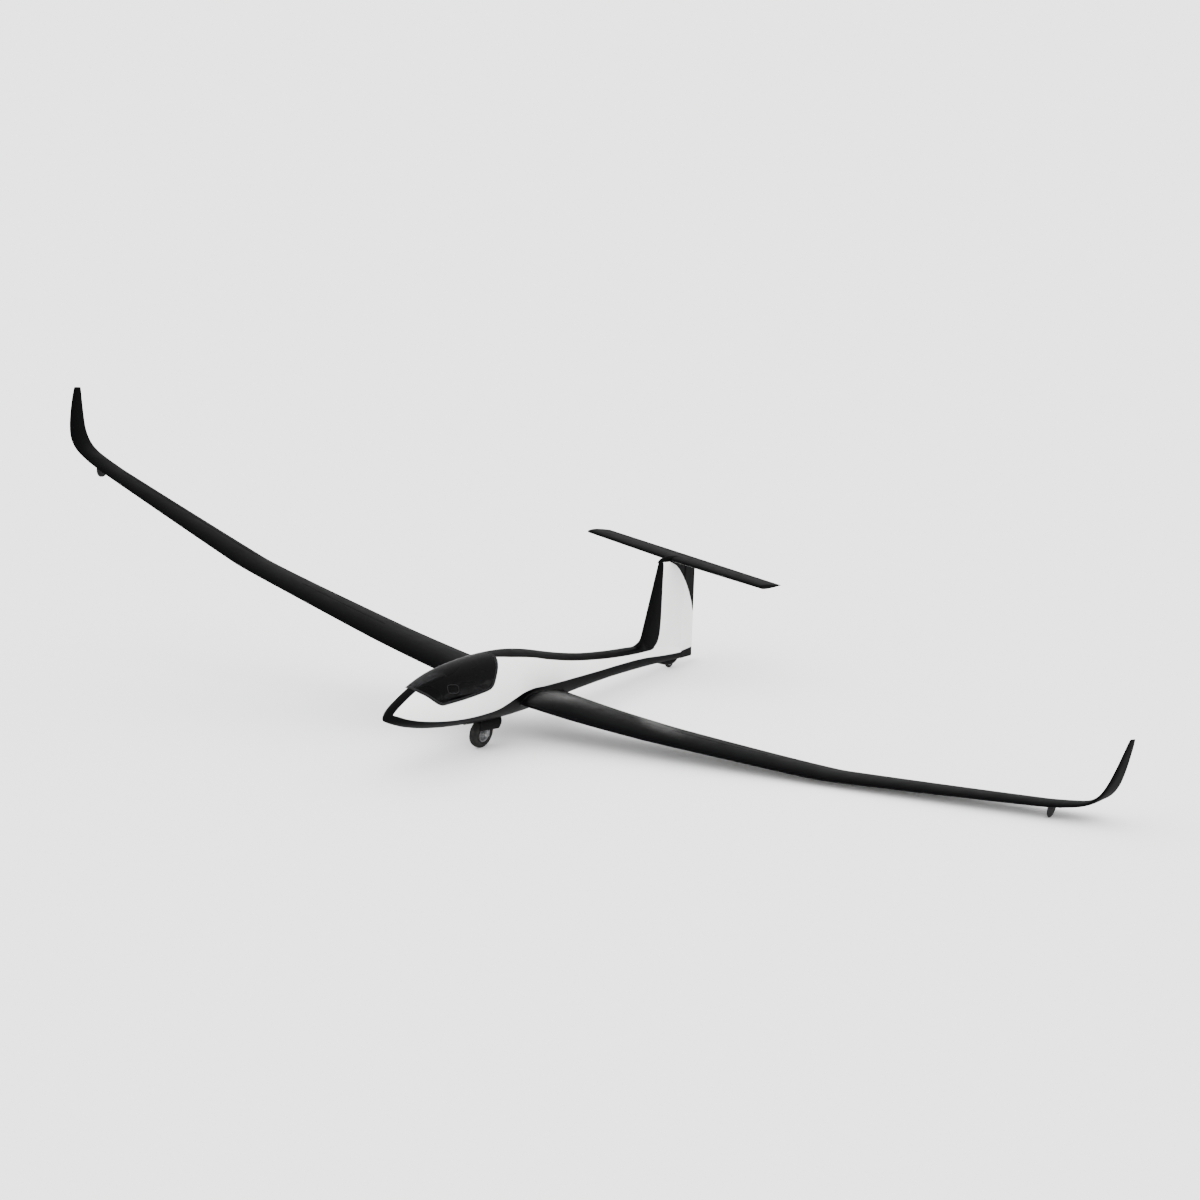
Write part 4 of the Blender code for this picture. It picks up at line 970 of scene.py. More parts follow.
def make_hull_front():
    """The cockpit's shell: a smooth skin, hollow, with its canopy opening and wheel well cut out."""
    hull = skin("hull_front", hull_rings(0.0, SPLIT_Y, 0.0, 0.04, FINE_POINTS))
    hull.data.materials.append(LOOKS["hull"])
    cavity = skin("cavity", hull_rings(CAVITY_FRONT, CAVITY_REAR, SHELL_WALL, 0.04, FINE_POINTS))
    cavity.data.materials.append(LOOKS["interior"])
    bulkhead = block("bulkhead", (-0.5, SEAT_BULKHEAD, -0.6), (0.5, CAVITY_REAR + 0.1, SHELF_HEIGHT))
    bulkhead.data.materials.append(LOOKS["interior"])
    cut(cavity, bulkhead)
    opening = skin("opening", across(rounded(CANOPY_OUTLINE), 0.6))
    opening.data.materials.append(LOOKS["hull"])
    well = block("well", (-WELL_HALF_WIDTH, WELL_FRONT, -0.5), (WELL_HALF_WIDTH, WELL_REAR, WELL_TOP))
    well.data.materials.append(LOOKS["interior"])
    for tool in (cavity, opening, well):
        cut(hull, tool)
    fit_out(hull, "airframe", replaces=["cockpit_shell"])


def lower_edge(outline, y):
    """The lowest height of a closed side-view outline at a station, or none where it doesn't reach."""
    heights = []
    for index, (high_y, high_z) in enumerate(outline):
        low_y, low_z = outline[index - 1]
        if min(low_y, high_y) <= y < max(low_y, high_y):
            heights.append(low_z + (high_z - low_z) * (y - low_y) / (high_y - low_y))
    return min(heights) if heights else None


def hull_arc(y, low, count=96):
    """The hull's section over the top at a station, down to the same height on each side."""
    section = hull_section(y)
    top, belly, _, middle = section
    height = (top - middle) if low > middle else (middle - belly)
    share = min(abs(low - middle) / height, 1.0)
    start = math.asin(math.copysign(share ** (SECTION_POWER / 2), low - middle))
    return [hull_point(y, section, angle) for angle in spread(start, math.pi - start, count)]


def make_canopy():
    """A one-piece blown canopy: a frame all round its edge, and the tinted glass inside it."""
    outline = rounded(CANOPY_OUTLINE)
    rim = shrink(outline, GAP)
    window = shrink(outline, GAP + FRAME_WIDTH)
    frame_piece = skin("canopy_rim", hull_rings(0.20, 2.15, 0.0, 0.03, FINE_POINTS))
    cut(frame_piece, skin("core", hull_rings(0.15, 2.18, FRAME_DEPTH, 0.03, FINE_POINTS)))
    cut(frame_piece, skin("keep", across(rim, 0.6)), "INTERSECT")
    cut(frame_piece, skin("hole", across(window, 0.7)))
    fit_out(frame_piece, "canopy", LOOKS["frame"], ["canopy_frame"])
    edge = shrink(outline, GAP + FRAME_WIDTH + TOUCH)
    lines = []
    for y in spread(min(y for y, z in edge) + TOUCH, max(y for y, z in edge), 200):
        low = lower_edge(edge, y)
        if low is not None and low < smooth_line(FUSELAGE_LINES, y, 1) - TOUCH:
            lines.append(hull_arc(y, low))
    pane = sheet("canopy_pane", lines)
    apply_modifier(pane, "SOLIDIFY", thickness=GLASS_DEPTH, offset=-1.0)
    fit_out(pane, "canopy", LOOKS["glass"], ["canopy_glass"])


def make_canopy_fittings():
    """Latches inside the canopy's frame, two with a lever and a red knob, and the frame of a small vent."""
    metal = []
    knobs = []
    for side in (-1, 1):
        for y, z in ((0.95, 0.115), (1.42, 0.190)):
            x = side * (hull_side(y, z, FRAME_DEPTH) - 0.0005)
            metal.append(soft_block(
                "latch_plate", (min(x, x - side * 0.004), y - 0.020, z - 0.011),
                (max(x, x - side * 0.004), y + 0.020, z + 0.011), 0.0012,
            ))
            start = Vector((x - side * 0.002, y, z))
            tip = start - Vector((side * 0.014, 0.0, 0.0))
            metal.append(rod("latch_pin", start, tip, 0.0042, 20, 0.0008))
            if y < 1.0:
                arm = curved([
                    start - Vector((side * 0.011, 0.0, 0.0)), start + Vector((-side * 0.015, 0.022, 0.006)),
                    start + Vector((-side * 0.019, 0.050, 0.010)),
                ], 6)
                metal.append(swept("latch_arm", arm, disc(0.0036, 14)))
                knobs.append(turned_aft("knob", [
                    (0.0, -0.016), (0.005, -0.0155), (0.0085, -0.011), (0.0095, -0.002), (0.0085, 0.008),
                    (0.005, 0.012), (0.0, 0.0125),
                ], start + Vector((-side * 0.0195, 0.056, 0.011)), 28))
    fit_out(joined("canopy_latches", metal), "canopy", LOOKS["alloy"])
    fit_out(joined("canopy_latch_knobs", knobs), "canopy", LOOKS["red"])
    path = []
    ups = []
    for a, b in disc(1.0, 48):
        y = 0.900 + 0.085 * signed_power(a, 0.6)
        z = 0.235 + 0.045 * signed_power(b, 0.6)
        here = Vector((hull_side(y, z) - 0.0008, y, z))
        rise = Vector((hull_side(y, z + 0.01) - hull_side(y, z - 0.01), 0.0, 0.02))
        ahead = Vector((hull_side(y + 0.01, z) - hull_side(y - 0.01, z), 0.02, 0.0))
        path.append(here)
        ups.append(ahead.cross(rise).normalized())
    vent = swept("canopy_vent_frame", path, webbing(0.010, 0.0044), ups, True)
    fit_out(vent, "canopy", LOOKS["frame"])


def hinge_cut(name):
    """What is cut from the boom and the fin to leave room for the rudder's round nose."""
    lines = []
    for height in (-0.2, 1.7):
        hinge = straight_line(HINGE_LINE, height)
        nose = straight_line(RUDDER_NOSE, height)
        lines.append((hinge - nose - (GAP + 0.001), height))
    return skin(name, across([lines[0], lines[1], (7.2, 1.7), (7.2, -0.2)], 0.5))


def make_hull_rear():
    """The rear fuselage with the wings' stubs, cut for the rudder's nose and the tail wheel."""
    hull = skin("hull_rear", hull_rings(SPLIT_Y + TOUCH, BOOM_END))
    hull.data.materials.append(LOOKS["hull"])
    edge, *shape = wing_station(WING_LINE[0][0])
    stub = skin("stub", [foil_ring((side * (edge[0] - TOUCH), *edge[1:]), *shape) for side in (-1, 1)])
    stub.data.materials.append(LOOKS["hull"])
    cut(hull, stub, "UNION")
    cut(hull, hinge_cut("boom_end"))
    reach = TAIL_TYRE[0] + 0.010
    slot = block(
        "tail_slot", (-TAIL_SLOT_HALF_WIDTH, TAIL_WHEEL.y - reach, -0.2),
        (TAIL_SLOT_HALF_WIDTH, TAIL_WHEEL.y + reach, TAIL_WHEEL.z + reach),
    )
    slot.data.materials.append(LOOKS["interior"])
    cut(hull, slot)
    fit_out(hull, "airframe", replaces=["rear_fuselage"])


# Wings


def aileron_hinge(x):
    """The middle of the wing's thickness at the hinge line, and half that thickness."""
    upper = wing_point(x, HINGE_SHARE, 1)
    lower = wing_point(x, HINGE_SHARE, -1)
    return (upper + lower) / 2, (upper - lower).length / 2


def make_wings():
    """The wings, with a bay for each aileron and a slot for each airbrake."""
    stations = spread(WING_LINE[0][0], WING_LINE[-1][0], 84)
    wing = skin("wing_skin_left", [foil_ring(*wing_station(x)) for x in stations])
    outward, up = panel_axes(AILERON_INNER, AILERON_OUTER, HINGE_SHARE)
    rings = []
    for x, shift in ((AILERON_INNER, -GAP), (AILERON_OUTER, GAP)):
        centre, radius = aileron_hinge(x)
        centre = centre + outward * shift
        front = centre - AFT * (radius + GAP + 0.001)
        back = centre + AFT * 0.4
        rings.append([front - up * 0.1, back - up * 0.1, back + up * 0.1, front + up * 0.1])
    cut(wing, skin("bay", rings))
    outward, up = panel_axes(AIRBRAKE_INNER, AIRBRAKE_OUTER, AIRBRAKE_SHARE)
    depth = BLADE_HEIGHT + GAP + 0.001
    corners = [(-0.018, -depth), (0.018, -depth), (0.018, 0.03), (-0.018, 0.03)]
    rings = []
    for x, shift in ((AIRBRAKE_INNER, -GAP), (AIRBRAKE_OUTER, GAP)):
        top = wing_point(x, AIRBRAKE_SHARE, 1) + outward * shift
        rings.append([top + AFT * along + up * rise for along, rise in corners])
    cut(wing, skin("slot", rings))
    fit_out_pair(wing, "airframe", LOOKS["black"], "wing")


def make_airbrakes():
    """A paddle with lightening holes, under a cap that closes the slot in the wing."""
    up = panel_axes(AIRBRAKE_INNER, AIRBRAKE_OUTER, AIRBRAKE_SHARE)[1]
    profile = [
        (-0.004, -BLADE_HEIGHT), (-0.003, -BLADE_HEIGHT), (0.003, -BLADE_HEIGHT),
        (0.004, -BLADE_HEIGHT + 0.001), (0.004, -0.0055), (0.0055, -0.0042), (0.0115, -0.004),
        (0.0125, -0.003), (0.0125, -0.0009), (0.0120, -0.0005), (-0.0120, -0.0005), (-0.0125, -0.0009),
        (-0.0125, -0.003), (-0.0115, -0.004), (-0.0055, -0.0042), (-0.004, -0.0055),
    ]
    inner, outer = (wing_point(x, AIRBRAKE_SHARE, 1) for x in (AIRBRAKE_INNER, AIRBRAKE_OUTER))
    rings = []
    for share in spread(0.0, 1.0, 26):
        place = inner.lerp(outer, share)
        rings.append([place + AFT * along + up * height for along, height in profile])
    blade = skin("airbrake_paddle_left", rings)
    drills = []
    for step in range(13):
        place = inner.lerp(outer, (step + 0.5) / 13) - up * 0.037
        drills.append(rod("drill", place - AFT * 0.02, place + AFT * 0.02, 0.017, 36))
    cut(blade, joined("drills", drills))
    fit_out_pair(blade, "airbrake", LOOKS["black"], "airbrake", 30.0)


def make_root_fillets():
    """The concave blend between the fuselage's side and the wing's root, all round its section."""
    station = wing_station(WING_LINE[0][0])
    edge, chord = station[:2]
    shares = [(1 - math.cos(math.pi * step / 40)) / 2 for step in range(41)]
    outline = [foil_point(*station, share, 1) for share in reversed(shares)]
    outline += [foil_point(*station, share, -1) for share in shares[1:]]
    rings = []
    for index, here in enumerate(outline):
        before = outline[max(index - 1, 0)]
        after = outline[min(index + 1, len(outline) - 1)]
        run = (after - before).normalized()
        out = Vector((0.0, run.z, -run.y))
        size = 0.018 + 0.030 * min(max((here.y - edge[1]) / chord, 0.0), 1.0)
        ring = []
        for angle in QUARTER_ANGLES:
            away = size * (1 - math.cos(angle))
            y = here.y + out.y * away
            z = here.z + out.z * away
            ring.append(Vector((hull_side(y, z) + size * (1 - math.sin(angle)), y, z)) + out * TOUCH)
        y = here.y + out.y * size
        z = here.z + out.z * size
        ring.append(Vector((hull_side(y, z) - 0.004, y, z)))
        ring.append(Vector((hull_side(here.y, here.z) - 0.010, here.y, here.z)) - out * 0.004)
        ring.append(Vector((hull_side(here.y, here.z) + size, here.y, here.z)) - out * 0.003)
        rings.append(ring)
    fillet = skin("wing_fillet_left", rings)
    fit_out_pair(fillet, "airframe", LOOKS["hull"], None, 50.0)


def make_wing_tapes():
    """Thin tape over the joints at the wing's root and at the winglet."""
    for name, low, high in (("root", 0.335, 0.362), ("winglet", 6.988, 7.012)):
        rings = []
        for x in (low, high):
            held = min(max(x, 0.3451), 6.9999)
            edge, *shape = wing_station(held)
            lean = shape[3]
            ring = foil_ring((x, edge[1], edge[2] + (x - held) * math.tan(lean)), *shape)
            middle = sum(ring, Vector()) / len(ring)
            grown = []
            for index, point in enumerate(ring):
                run = (ring[(index + 1) % len(ring)] - ring[index - 1]).normalized()
                out = run.cross(Vector((math.cos(lean), 0.0, math.sin(lean)))).normalized()
                if out.dot(point - middle) < 0:
                    out = -out
                grown.append(point + out * 0.0006)
            rings.append(grown)
        tape = skin(name + "_joint_tape_left", rings)
        fit_out_pair(tape, "airframe", LOOKS["black"], None, 30.0)


def make_ailerons():
    """The ailerons, each with a round nose about its hinge."""
    up = panel_axes(AILERON_INNER, AILERON_OUTER, HINGE_SHARE)[1]
    shares = [0.785 + 0.215 * (step / 8) for step in range(9)]
    rings = []
    for x in spread(AILERON_INNER, AILERON_OUTER, 24):
        centre, radius = aileron_hinge(x)
        ring = [wing_point(x, share, -1) for share in shares]
        ring += [wing_point(x, share, 1) for share in reversed(shares)]
        for angle in NOSE_ANGLES[1:-1]:
            ring.append(centre + radius * (AFT * math.cos(angle) + up * math.sin(angle)))
        rings.append(ring)
    fit_out_pair(skin("aileron_skin_left", rings), "aileron", LOOKS["black"], "aileron")


def make_winglets():
    """The wing's tip swept up into a tall blade."""
    root = wing_station(WING_LINE[-1][0])
    outward = Vector((math.cos(root[4]), 0.0, math.sin(root[4])))
    rings = [[point + outward * TOUCH for point in foil_ring(*root)]]
    count = 40
    last = len(WINGLET_LINE) - 1
    rows = [(index, *row) for index, row in enumerate(WINGLET_LINE)]
    for step in range(1, count + 1):
        place = last * step / count
        share = place / last
        x, y, z, chord, lean = (smooth_line(rows, place, column) for column in range(1, 6))
        thickness = root[2] + share * (WINGLET_THICKNESS - root[2])
        twist = WING_TWIST + min(2 * share, 1.0) * (WINGLET_TWIST - WING_TWIST)
        shape = (chord, thickness, CAMBER * (1 - share), math.radians(lean), twist)
        rings.append(foil_ring((x, y, z), *shape))
    fit_out_pair(skin("winglet_skin_left", rings), "airframe", LOOKS["black"], "winglet")


# Tail


def fin_ring(height, scale=1.0):
    """The fin's section at a height, open at the rudder's hinge."""
    front = straight_line(FIN_LE, height)
    chord = straight_line(RUDDER_TE, height) - front
    cut_share = (straight_line(HINGE_LINE, height) - front) / chord
    port = []
    for step in range(24, -1, -1):
        share = cut_share * (1 - math.cos(math.pi * step / 48))
        port.append((scale * chord * half_thickness(share, FIN_THICKNESS), front + chord * share, height))
    return port + [(-x, y, z) for x, y, z in reversed(port[:-1])]


def tailplane_front(x):
    """The tailplane's leading edge at a distance from the middle."""
    return STAB_LE_ROOT + abs(x) / STAB_HALF_SPAN * (STAB_LE_TIP - STAB_LE_ROOT)


def tailplane_ring(x, scale=1.0, shift=0.0):
    """The tailplane's section, scaled in thickness and with its leading edge shifted."""
    front = tailplane_front(x) + shift
    return foil_ring((x, front, STAB_HEIGHT), STAB_TE - front, STAB_THICKNESS * scale, 0.0, 0.0, 0.0)


def make_fin():
    """The fin, cut to the boom, to the rudder's nose and to the tailplane."""
    heights = spread(0.150, 1.400, 24) + [1.450]
    fin = skin("fin_skin", [fin_ring(h, 0.75 if h > 1.42 else 1.0) for h in heights])
    cut(fin, skin("boom_margin", hull_rings(4.9, BOOM_END, -TOUCH)))
    cut(fin, hinge_cut("fin_end"))
    cut(fin, skin("plane_margin", [tailplane_ring(x, 1.03, -0.002) for x in (-0.6, 0.0, 0.6)]))
    fit_out(fin, "airframe", LOOKS["tail"], ["fin"])


def make_fin_fillet():
    """The concave blend between the fin's foot and the boom, round the leading edge."""
    outline = [point for point in fin_ring(0.290) if point[1] < 6.150]
    outline_front = min(point[1] for point in outline)

    def over_boom(spot, rise):
        return Vector((spot.x, spot.y, hull_height(spot.x, spot.y, 1) + rise))

    rings = []
    for index, here in enumerate(outline):
        before = Vector(outline[max(index - 1, 0)])
        after = Vector(outline[min(index + 1, len(outline) - 1)])
        run = (after - before).normalized()
        out = Vector((-run.y, run.x, 0.0))
        if out.x * here[0] < 0 or (abs(here[0]) < 0.001 and out.y > 0):
            out = -out
        size = 0.032 + 0.100 * max(1 - (here[1] - outline_front) / 0.110, 0.0) ** 2
        size *= 0.25 + 0.75 * min((6.150 - here[1]) / 0.140, 1.0)
        here = Vector(here)
        ring = []
        for angle in QUARTER_ANGLES:
            away = size * (1 - math.cos(angle))
            ring.append(over_boom(here + out * away, size * (1 - math.sin(angle))) + out * TOUCH)
        ring.append(over_boom(here + out * size, -0.004))
        ring.append(over_boom(here - out * 0.002, -0.006))
        ring.append(over_boom(here - out * 0.002, size))
        rings.append(ring)
    fillet = skin("fin_fillet", rings)
    fit_out(fillet, "airframe", LOOKS["hull"], (), 50.0)


def make_tailplane_fairing():
    """A slim bullet where the fin's tip carries the tailplane."""
    rows = [
        (5.205, 1.440, 0.0015, 0.0015), (5.220, 1.446, 0.010, 0.014), (5.260, 1.455, 0.020, 0.030),
        (5.340, 1.466, 0.029, 0.043), (5.450, 1.473, 0.034, 0.047), (5.560, 1.475, 0.031, 0.043),
        (5.680, 1.476, 0.022, 0.036), (5.760, 1.476, 0.012, 0.028), (5.800, 1.476, 0.003, 0.020),
    ]
    rings = []
    for y in spread(5.205, 5.800, 60):
        middle, half_width, height = (smooth_line(rows, y, column) for column in (1, 2, 3))
        rings.append([(half_width * a, y, middle + height * b) for a, b in disc(1.0, 48)])
    fairing = skin("tailplane_fairing", rings)
    fit_out(fairing, "airframe", LOOKS["black"])


def make_rudder():
    """The rudder, with a round nose about its raked hinge."""
    rings = []
    for height in spread(HINGE_LINE[0][0], HINGE_LINE[1][0], 24):
        hinge = straight_line(HINGE_LINE, height)
        nose = straight_line(RUDDER_NOSE, height)
        chord = straight_line(RUDDER_TE, height) - hinge
        ring = [(nose * math.sin(angle), hinge + nose * math.cos(angle), height) for angle in NOSE_ANGLES]
        side = []
        for step in range(1, 9):
            share = step / 8
            half = (nose + share * (0.0015 - nose)) * (1 - 0.04 * share)
            side.append((half, hinge + chord * share, height))
        rings.append(ring + [(-x, y, z) for x, y, z in side] + side[::-1])
    rudder = skin("rudder_skin", rings)
    fit_out(rudder, "rudder", LOOKS["tail"], ["rudder"])


def elevator_nose(x):
    """The radius of the elevator's nose at a distance from the middle."""
    front = tailplane_front(x)
    chord = STAB_TE - front
    return chord * half_thickness((ELEVATOR_HINGE - front) / chord, STAB_THICKNESS)


def make_tailplane():
    """The tailplane with rounded tips, cut for the elevator's nose, and the elevator."""
    tip = STAB_HALF_SPAN
    edge = []
    for inset in (0.0, 0.002, 0.005, 0.010, 0.016):
        edge.append((tip - inset, 0.45 + 0.55 * math.sqrt(inset / 0.016), 0.02 * (1 - inset / 0.016)))
    middle = [(x, 1.0, 0.0) for x in spread(1.3, -1.3, 20)]
    rows = edge + middle + [(-x, scale, shift) for x, scale, shift in reversed(edge)]
    plane = skin("tailplane_skin", [tailplane_ring(*row) for row in rows])
    rings = []
    for x in (-tip - 0.1, 0.0, tip + 0.1):
        cove = ELEVATOR_HINGE - elevator_nose(min(abs(x), tip)) - GAP - 0.001
        rings.append([(x, cove, 1.2), (x, 6.4, 1.2), (x, 6.4, 1.7), (x, cove, 1.7)])
    cut(plane, skin("cove", rings))
    fit_out(plane, "airframe", LOOKS["black"], ["stabilizer"])
    chord = STAB_TE - ELEVATOR_HINGE
    rings = []
    for x in spread(-tip + 0.012, tip - 0.012, 20):
        nose = elevator_nose(x)
        ring = []
        for angle in NOSE_ANGLES:
            ring.append((x, ELEVATOR_HINGE + nose * math.cos(angle), STAB_HEIGHT + nose * math.sin(angle)))
        lower = []
        upper = []
        for step in range(1, 7):
            y = ELEVATOR_HINGE + chord * (step / 6)
            taper = step / 6 * (nose - 0.001)
            lower.append((x, y, STAB_HEIGHT - nose + taper))
            upper.append((x, y, STAB_HEIGHT + nose - taper))
        rings.append(ring + lower + upper[::-1])
    elevator = skin("elevator_skin", rings)
    fit_out(elevator, "elevator", LOOKS["black"], ["elevator"])


# Undercarriage


def tyre_profile(size, grooves, depth):
    """A round-shouldered tyre with grooves round its crown, raised bead lines, and its seat on the rim."""
    radius, rim, half_width = size
    centre = rim + (radius - rim) * 0.45

    def crown(along):
        reach = math.sqrt(max(1 - (along / half_width) ** 2, 0.0)) ** 0.75
        return centre + (radius - centre) * reach

    width = half_width * 0.035
    marks = []
    for groove in grooves:
        middle = groove * half_width
        marks += [(middle + width, 0.0), (middle + width * 0.7, depth)]
        marks += [(middle - width * 0.7, depth), (middle - width, 0.0)]
    for step in range(1, 40):
        along = half_width * math.cos(math.pi * step / 40)
        if all(abs(along - groove * half_width) > width * 1.3 for groove in grooves):
            marks.append((along, 0.0))
    marks.sort(reverse=True)
    outer = [(crown(along) - drop, along) for along, drop in marks]
    side = []
    for share, bulge in (
        (1.0, 1.0), (0.8, 0.985), (0.62, 0.95), (0.60, 0.975), (0.54, 0.975), (0.52, 0.93), (0.3, 0.86),
        (0.12, 0.76),
    ):
        side.append((rim + TOUCH + (centre - rim) * share, half_width * bulge))
    return (
        side[::-1] + outer + [(there, -along) for there, along in side]
        + [(rim + TOUCH, -half_width * 0.62), (rim + TOUCH, half_width * 0.62)]
    )


def hub_profile(size, bore, web):
    """A flanged rim, a dished disc and a boss round the bore, with rounded corners."""
    rim, half_width = size[1:]
    edge = half_width * 0.86
    lip = rim * 0.985
    well = rim * 0.86
    boss = bore + rim * 0.14
    right = [
        (rim, half_width * 0.60), (rim, edge * 0.90), (lip, edge), (lip * 0.975, edge),
        (well * 1.03, edge * 0.94), (well, edge * 0.82), (well, web * 2.2), (well * 0.96, web * 1.25),
        (well * 0.9, web), (boss * 1.35, web), (boss * 1.12, web * 1.35), (boss, web * 2.2),
        (boss, edge * 0.94), (boss * 0.94, edge), (bore, edge),
    ]
    return right + [(there, -along) for there, along in reversed(right)]


def ring_of(make, count, radius, centre, start=0.0):
    """Like pieces round an axle, each made at its own angle."""
    pieces = []
    for step in range(count):
        angle = start + 2 * math.pi * step / count
        pieces.append(make(centre[1] + radius * math.cos(angle), centre[2] + radius * math.sin(angle)))
    return pieces


def make_wheel(name, body, centre, size, bore, web, grooves, holes, replaces):
    """A tyre, its drilled hub, the hub's bolts and the valve."""
    rim, half_width = size[1:]
    tyre = turned(name + "_tyre_ribbed", tyre_profile(size, grooves, half_width * 0.06), centre, 120)
    fit_out(tyre, body, LOOKS["rubber"], [replaces[0]], 30.0)
    hub = turned(name + "_hub_dished", hub_profile(size, bore, web), centre, 96)
    drills = ring_of(
        lambda y, z: rod("drill", (-half_width, y, z), (half_width, y, z), rim * 0.115, 28),
        holes, rim * 0.60, centre,
    )
    cut(hub, joined("drills", drills))
    fit_out(hub, body, LOOKS["alloy"], [replaces[1]], 28.0)
    bolts = []
    for side in (-1, 1):
        low = side * (web - 0.0005)
        high = side * (web + rim * 0.045)
        bolts += ring_of(
            lambda y, z: rod("bolt", (low, y, z), (high, y, z), rim * 0.05, 6, rim * 0.006),
            holes, rim * 0.62, centre, math.pi / holes,
        )
    fit_out(joined(name + "_hub_bolts", bolts), body, LOOKS["steel"])
    y = centre[1]
    z = centre[2] + rim * 0.78
    valve = [
        rod("stem", (web, y, z), (half_width * 0.62, y, z), rim * 0.032, 16, 0.0004),
        rod("cap", (half_width * 0.60, y, z), (half_width * 0.80, y, z), rim * 0.042, 16, 0.0006),
    ]
    fit_out(joined(name + "_valve", valve), body, LOOKS["plastic"])


def make_wheels():
    """The main wheel and the tail wheel."""
    make_wheel(
        "main", "main_wheel", MAIN_WHEEL, MAIN_TYRE, MAIN_BORE, 0.008, (-0.54, -0.27, 0.0, 0.27, 0.54), 6,
        ["main_tyre", "main_hub"],
    )
    make_wheel(
        "tail", "tail_wheel", TAIL_WHEEL, TAIL_TYRE, TAIL_BORE, 0.004, (-0.35, 0.35), 5,
        ["tail_tyre", "tail_hub"],
    )


def make_gear_fittings():
    """Collars, pivot bolts and axle nuts on the undercarriage's legs."""
    foot = Vector((0.0, MAIN_WHEEL.y, MAIN_WHEEL.z))
    top = Vector((0.0, *LEG_TOP))
    run = (foot - top).normalized()
    knee = (top + foot) / 2
    collars = ((top + run * 0.020, 0.022), (knee - run * 0.016, 0.032), (foot - run * 0.040, 0.016))
    reach = LEG_X + LEG_RADIUS + 0.006
    outer = LEG_X + LEG_RADIUS + 0.004
    metal = []
    for side in (-1, 1):
        shift = Vector((side * LEG_X, 0.0, 0.0))
        for place, length in collars:
            end = place + run * length + shift
            metal.append(rod("collar", place + shift, end, LEG_RADIUS + 0.0035, 32, 0.0012))
        for place, size in ((knee, 0.0065), (top, 0.0085)):
            metal.append(rod("pivot", place + shift * 0.85, (side * reach, *place.yz), size, 6, 0.0008))
        for name, near, far, size, sides, edge in (
            ("washer", 0.0, 0.002, 0.017, 40, 0.0005), ("axle_nut", 0.0018, 0.011, 0.0125, 6, 0.0012),
            ("axle_end", 0.010, 0.015, 0.0075, 24, 0.0012),
        ):
            start, end = ((side * (outer + out), *foot.yz) for out in (near, far))
            metal.append(rod(name, start, end, size, sides, edge))
    fit_out(joined("gear_leg_fittings", metal), "airframe", LOOKS["alloy"])
    metal = []
    for side in (-1, 1):
        wall = side * TAIL_SLOT_HALF_WIDTH
        start, end = ((wall - side * out, *TAIL_WHEEL.yz) for out in (0.0065, TOUCH))
        metal.append(rod("tail_spacer", start, end, 0.0095, 28, 0.0008))
    fit_out(joined("tail_axle_spacers", metal), "airframe", LOOKS["alloy"])


def door_point(y, share, bottom):
    """A point on the outside of the left gear door, from its top at share 0 to its bottom at 1."""
    top = hull_height(WELL_HALF_WIDTH + 0.004, y, -1) - 0.0045
    bulge = 0.016 * math.sin(math.pi * (0.12 + 0.88 * share))
    return WELL_HALF_WIDTH + 0.002 + 0.018 * share + bulge, y, top + (bottom - top) * share


def door_hinge_point(y):
    """A point on the hinge along the left gear door's top."""
    x = WELL_HALF_WIDTH + 0.0065
    return Vector((x, y, hull_height(x, y, -1) - 0.0028))


def make_gear_doors():
    """A curved belly panel on each side of the wheel, with a stiffener inside and a hinge along its top."""
    front = WELL_FRONT + 0.004
    rear = WELL_REAR - 0.004
    rings = []
    for y in spread(front, rear, 28):
        corner = min(y - front, rear - y, 0.030)
        lift = 0.030 - math.sqrt(max(0.030**2 - (0.030 - corner) ** 2, 0.0))
        outer = [door_point(y, step / 12, DOOR_BOTTOM + lift) for step in range(13)]
        rings.append(outer + [(x - 0.006, y, z) for x, y, z in reversed(outer)])
    door = skin("gear_door_panel_left", rings)
    soften(door, 0.0012)
    rail = []
    for share in (0.35, 0.8):
        points = [door_point(y, share, DOOR_BOTTOM) for y in spread(front + 0.035, rear - 0.035, 10)]
        path = [Vector((x - 0.007, y, z)) for x, y, z in points]
        rail.append(swept("stiffener", path, webbing(0.012, 0.004), LEFT))
    knuckles = []
    for step in range(8):
        y = front + 0.012 + (rear - front - 0.046) * step / 7
        knuckles.append(rod("knuckle", door_hinge_point(y), door_hinge_point(y + 0.022), 0.0030, 16, 0.0005))
    path = [door_hinge_point(y) for y in spread(front + 0.004, rear - 0.004, 24)]
    knuckles.append(swept("hinge_pin", path, disc(0.0016, 10)))
    rib = joined("gear_door_stiffener_left", rail)
    hinge = joined("gear_door_hinge_left", knuckles)
    fit_out_pair(door, "airframe", LOOKS["hull"], "gear_door")
    fit_out_pair(rib, "airframe", LOOKS["hull"])
    fit_out_pair(hinge, "airframe", LOOKS["frame"])


def make_tow_hook_fittings():
    """The hook's pivot bolt and the plate that it hangs from."""
    y = 1.640
    z = smooth_line(FUSELAGE_LINES, y, 2)
    start, end = ((x, y + 0.012, z - 0.016) for x in (-0.011, 0.011))
    parts = [
        soft_block("hook_plate", (-0.022, y - 0.045, z - 0.0015), (0.022, y + 0.045, z + 0.006), 0.0014),
        rod("hook_pivot", start, end, 0.0045, 24, 0.0008),
    ]
    for along in (y - 0.036, y + 0.036):
        for x in (-0.015, 0.015):
            parts.append(rod("plate_screw", (x, along, z), (x, along, z - 0.0030), 0.0042, 20, 0.0006))
    fit_out(joined("tow_hook_fittings", parts), "airframe", LOOKS["alloy"])


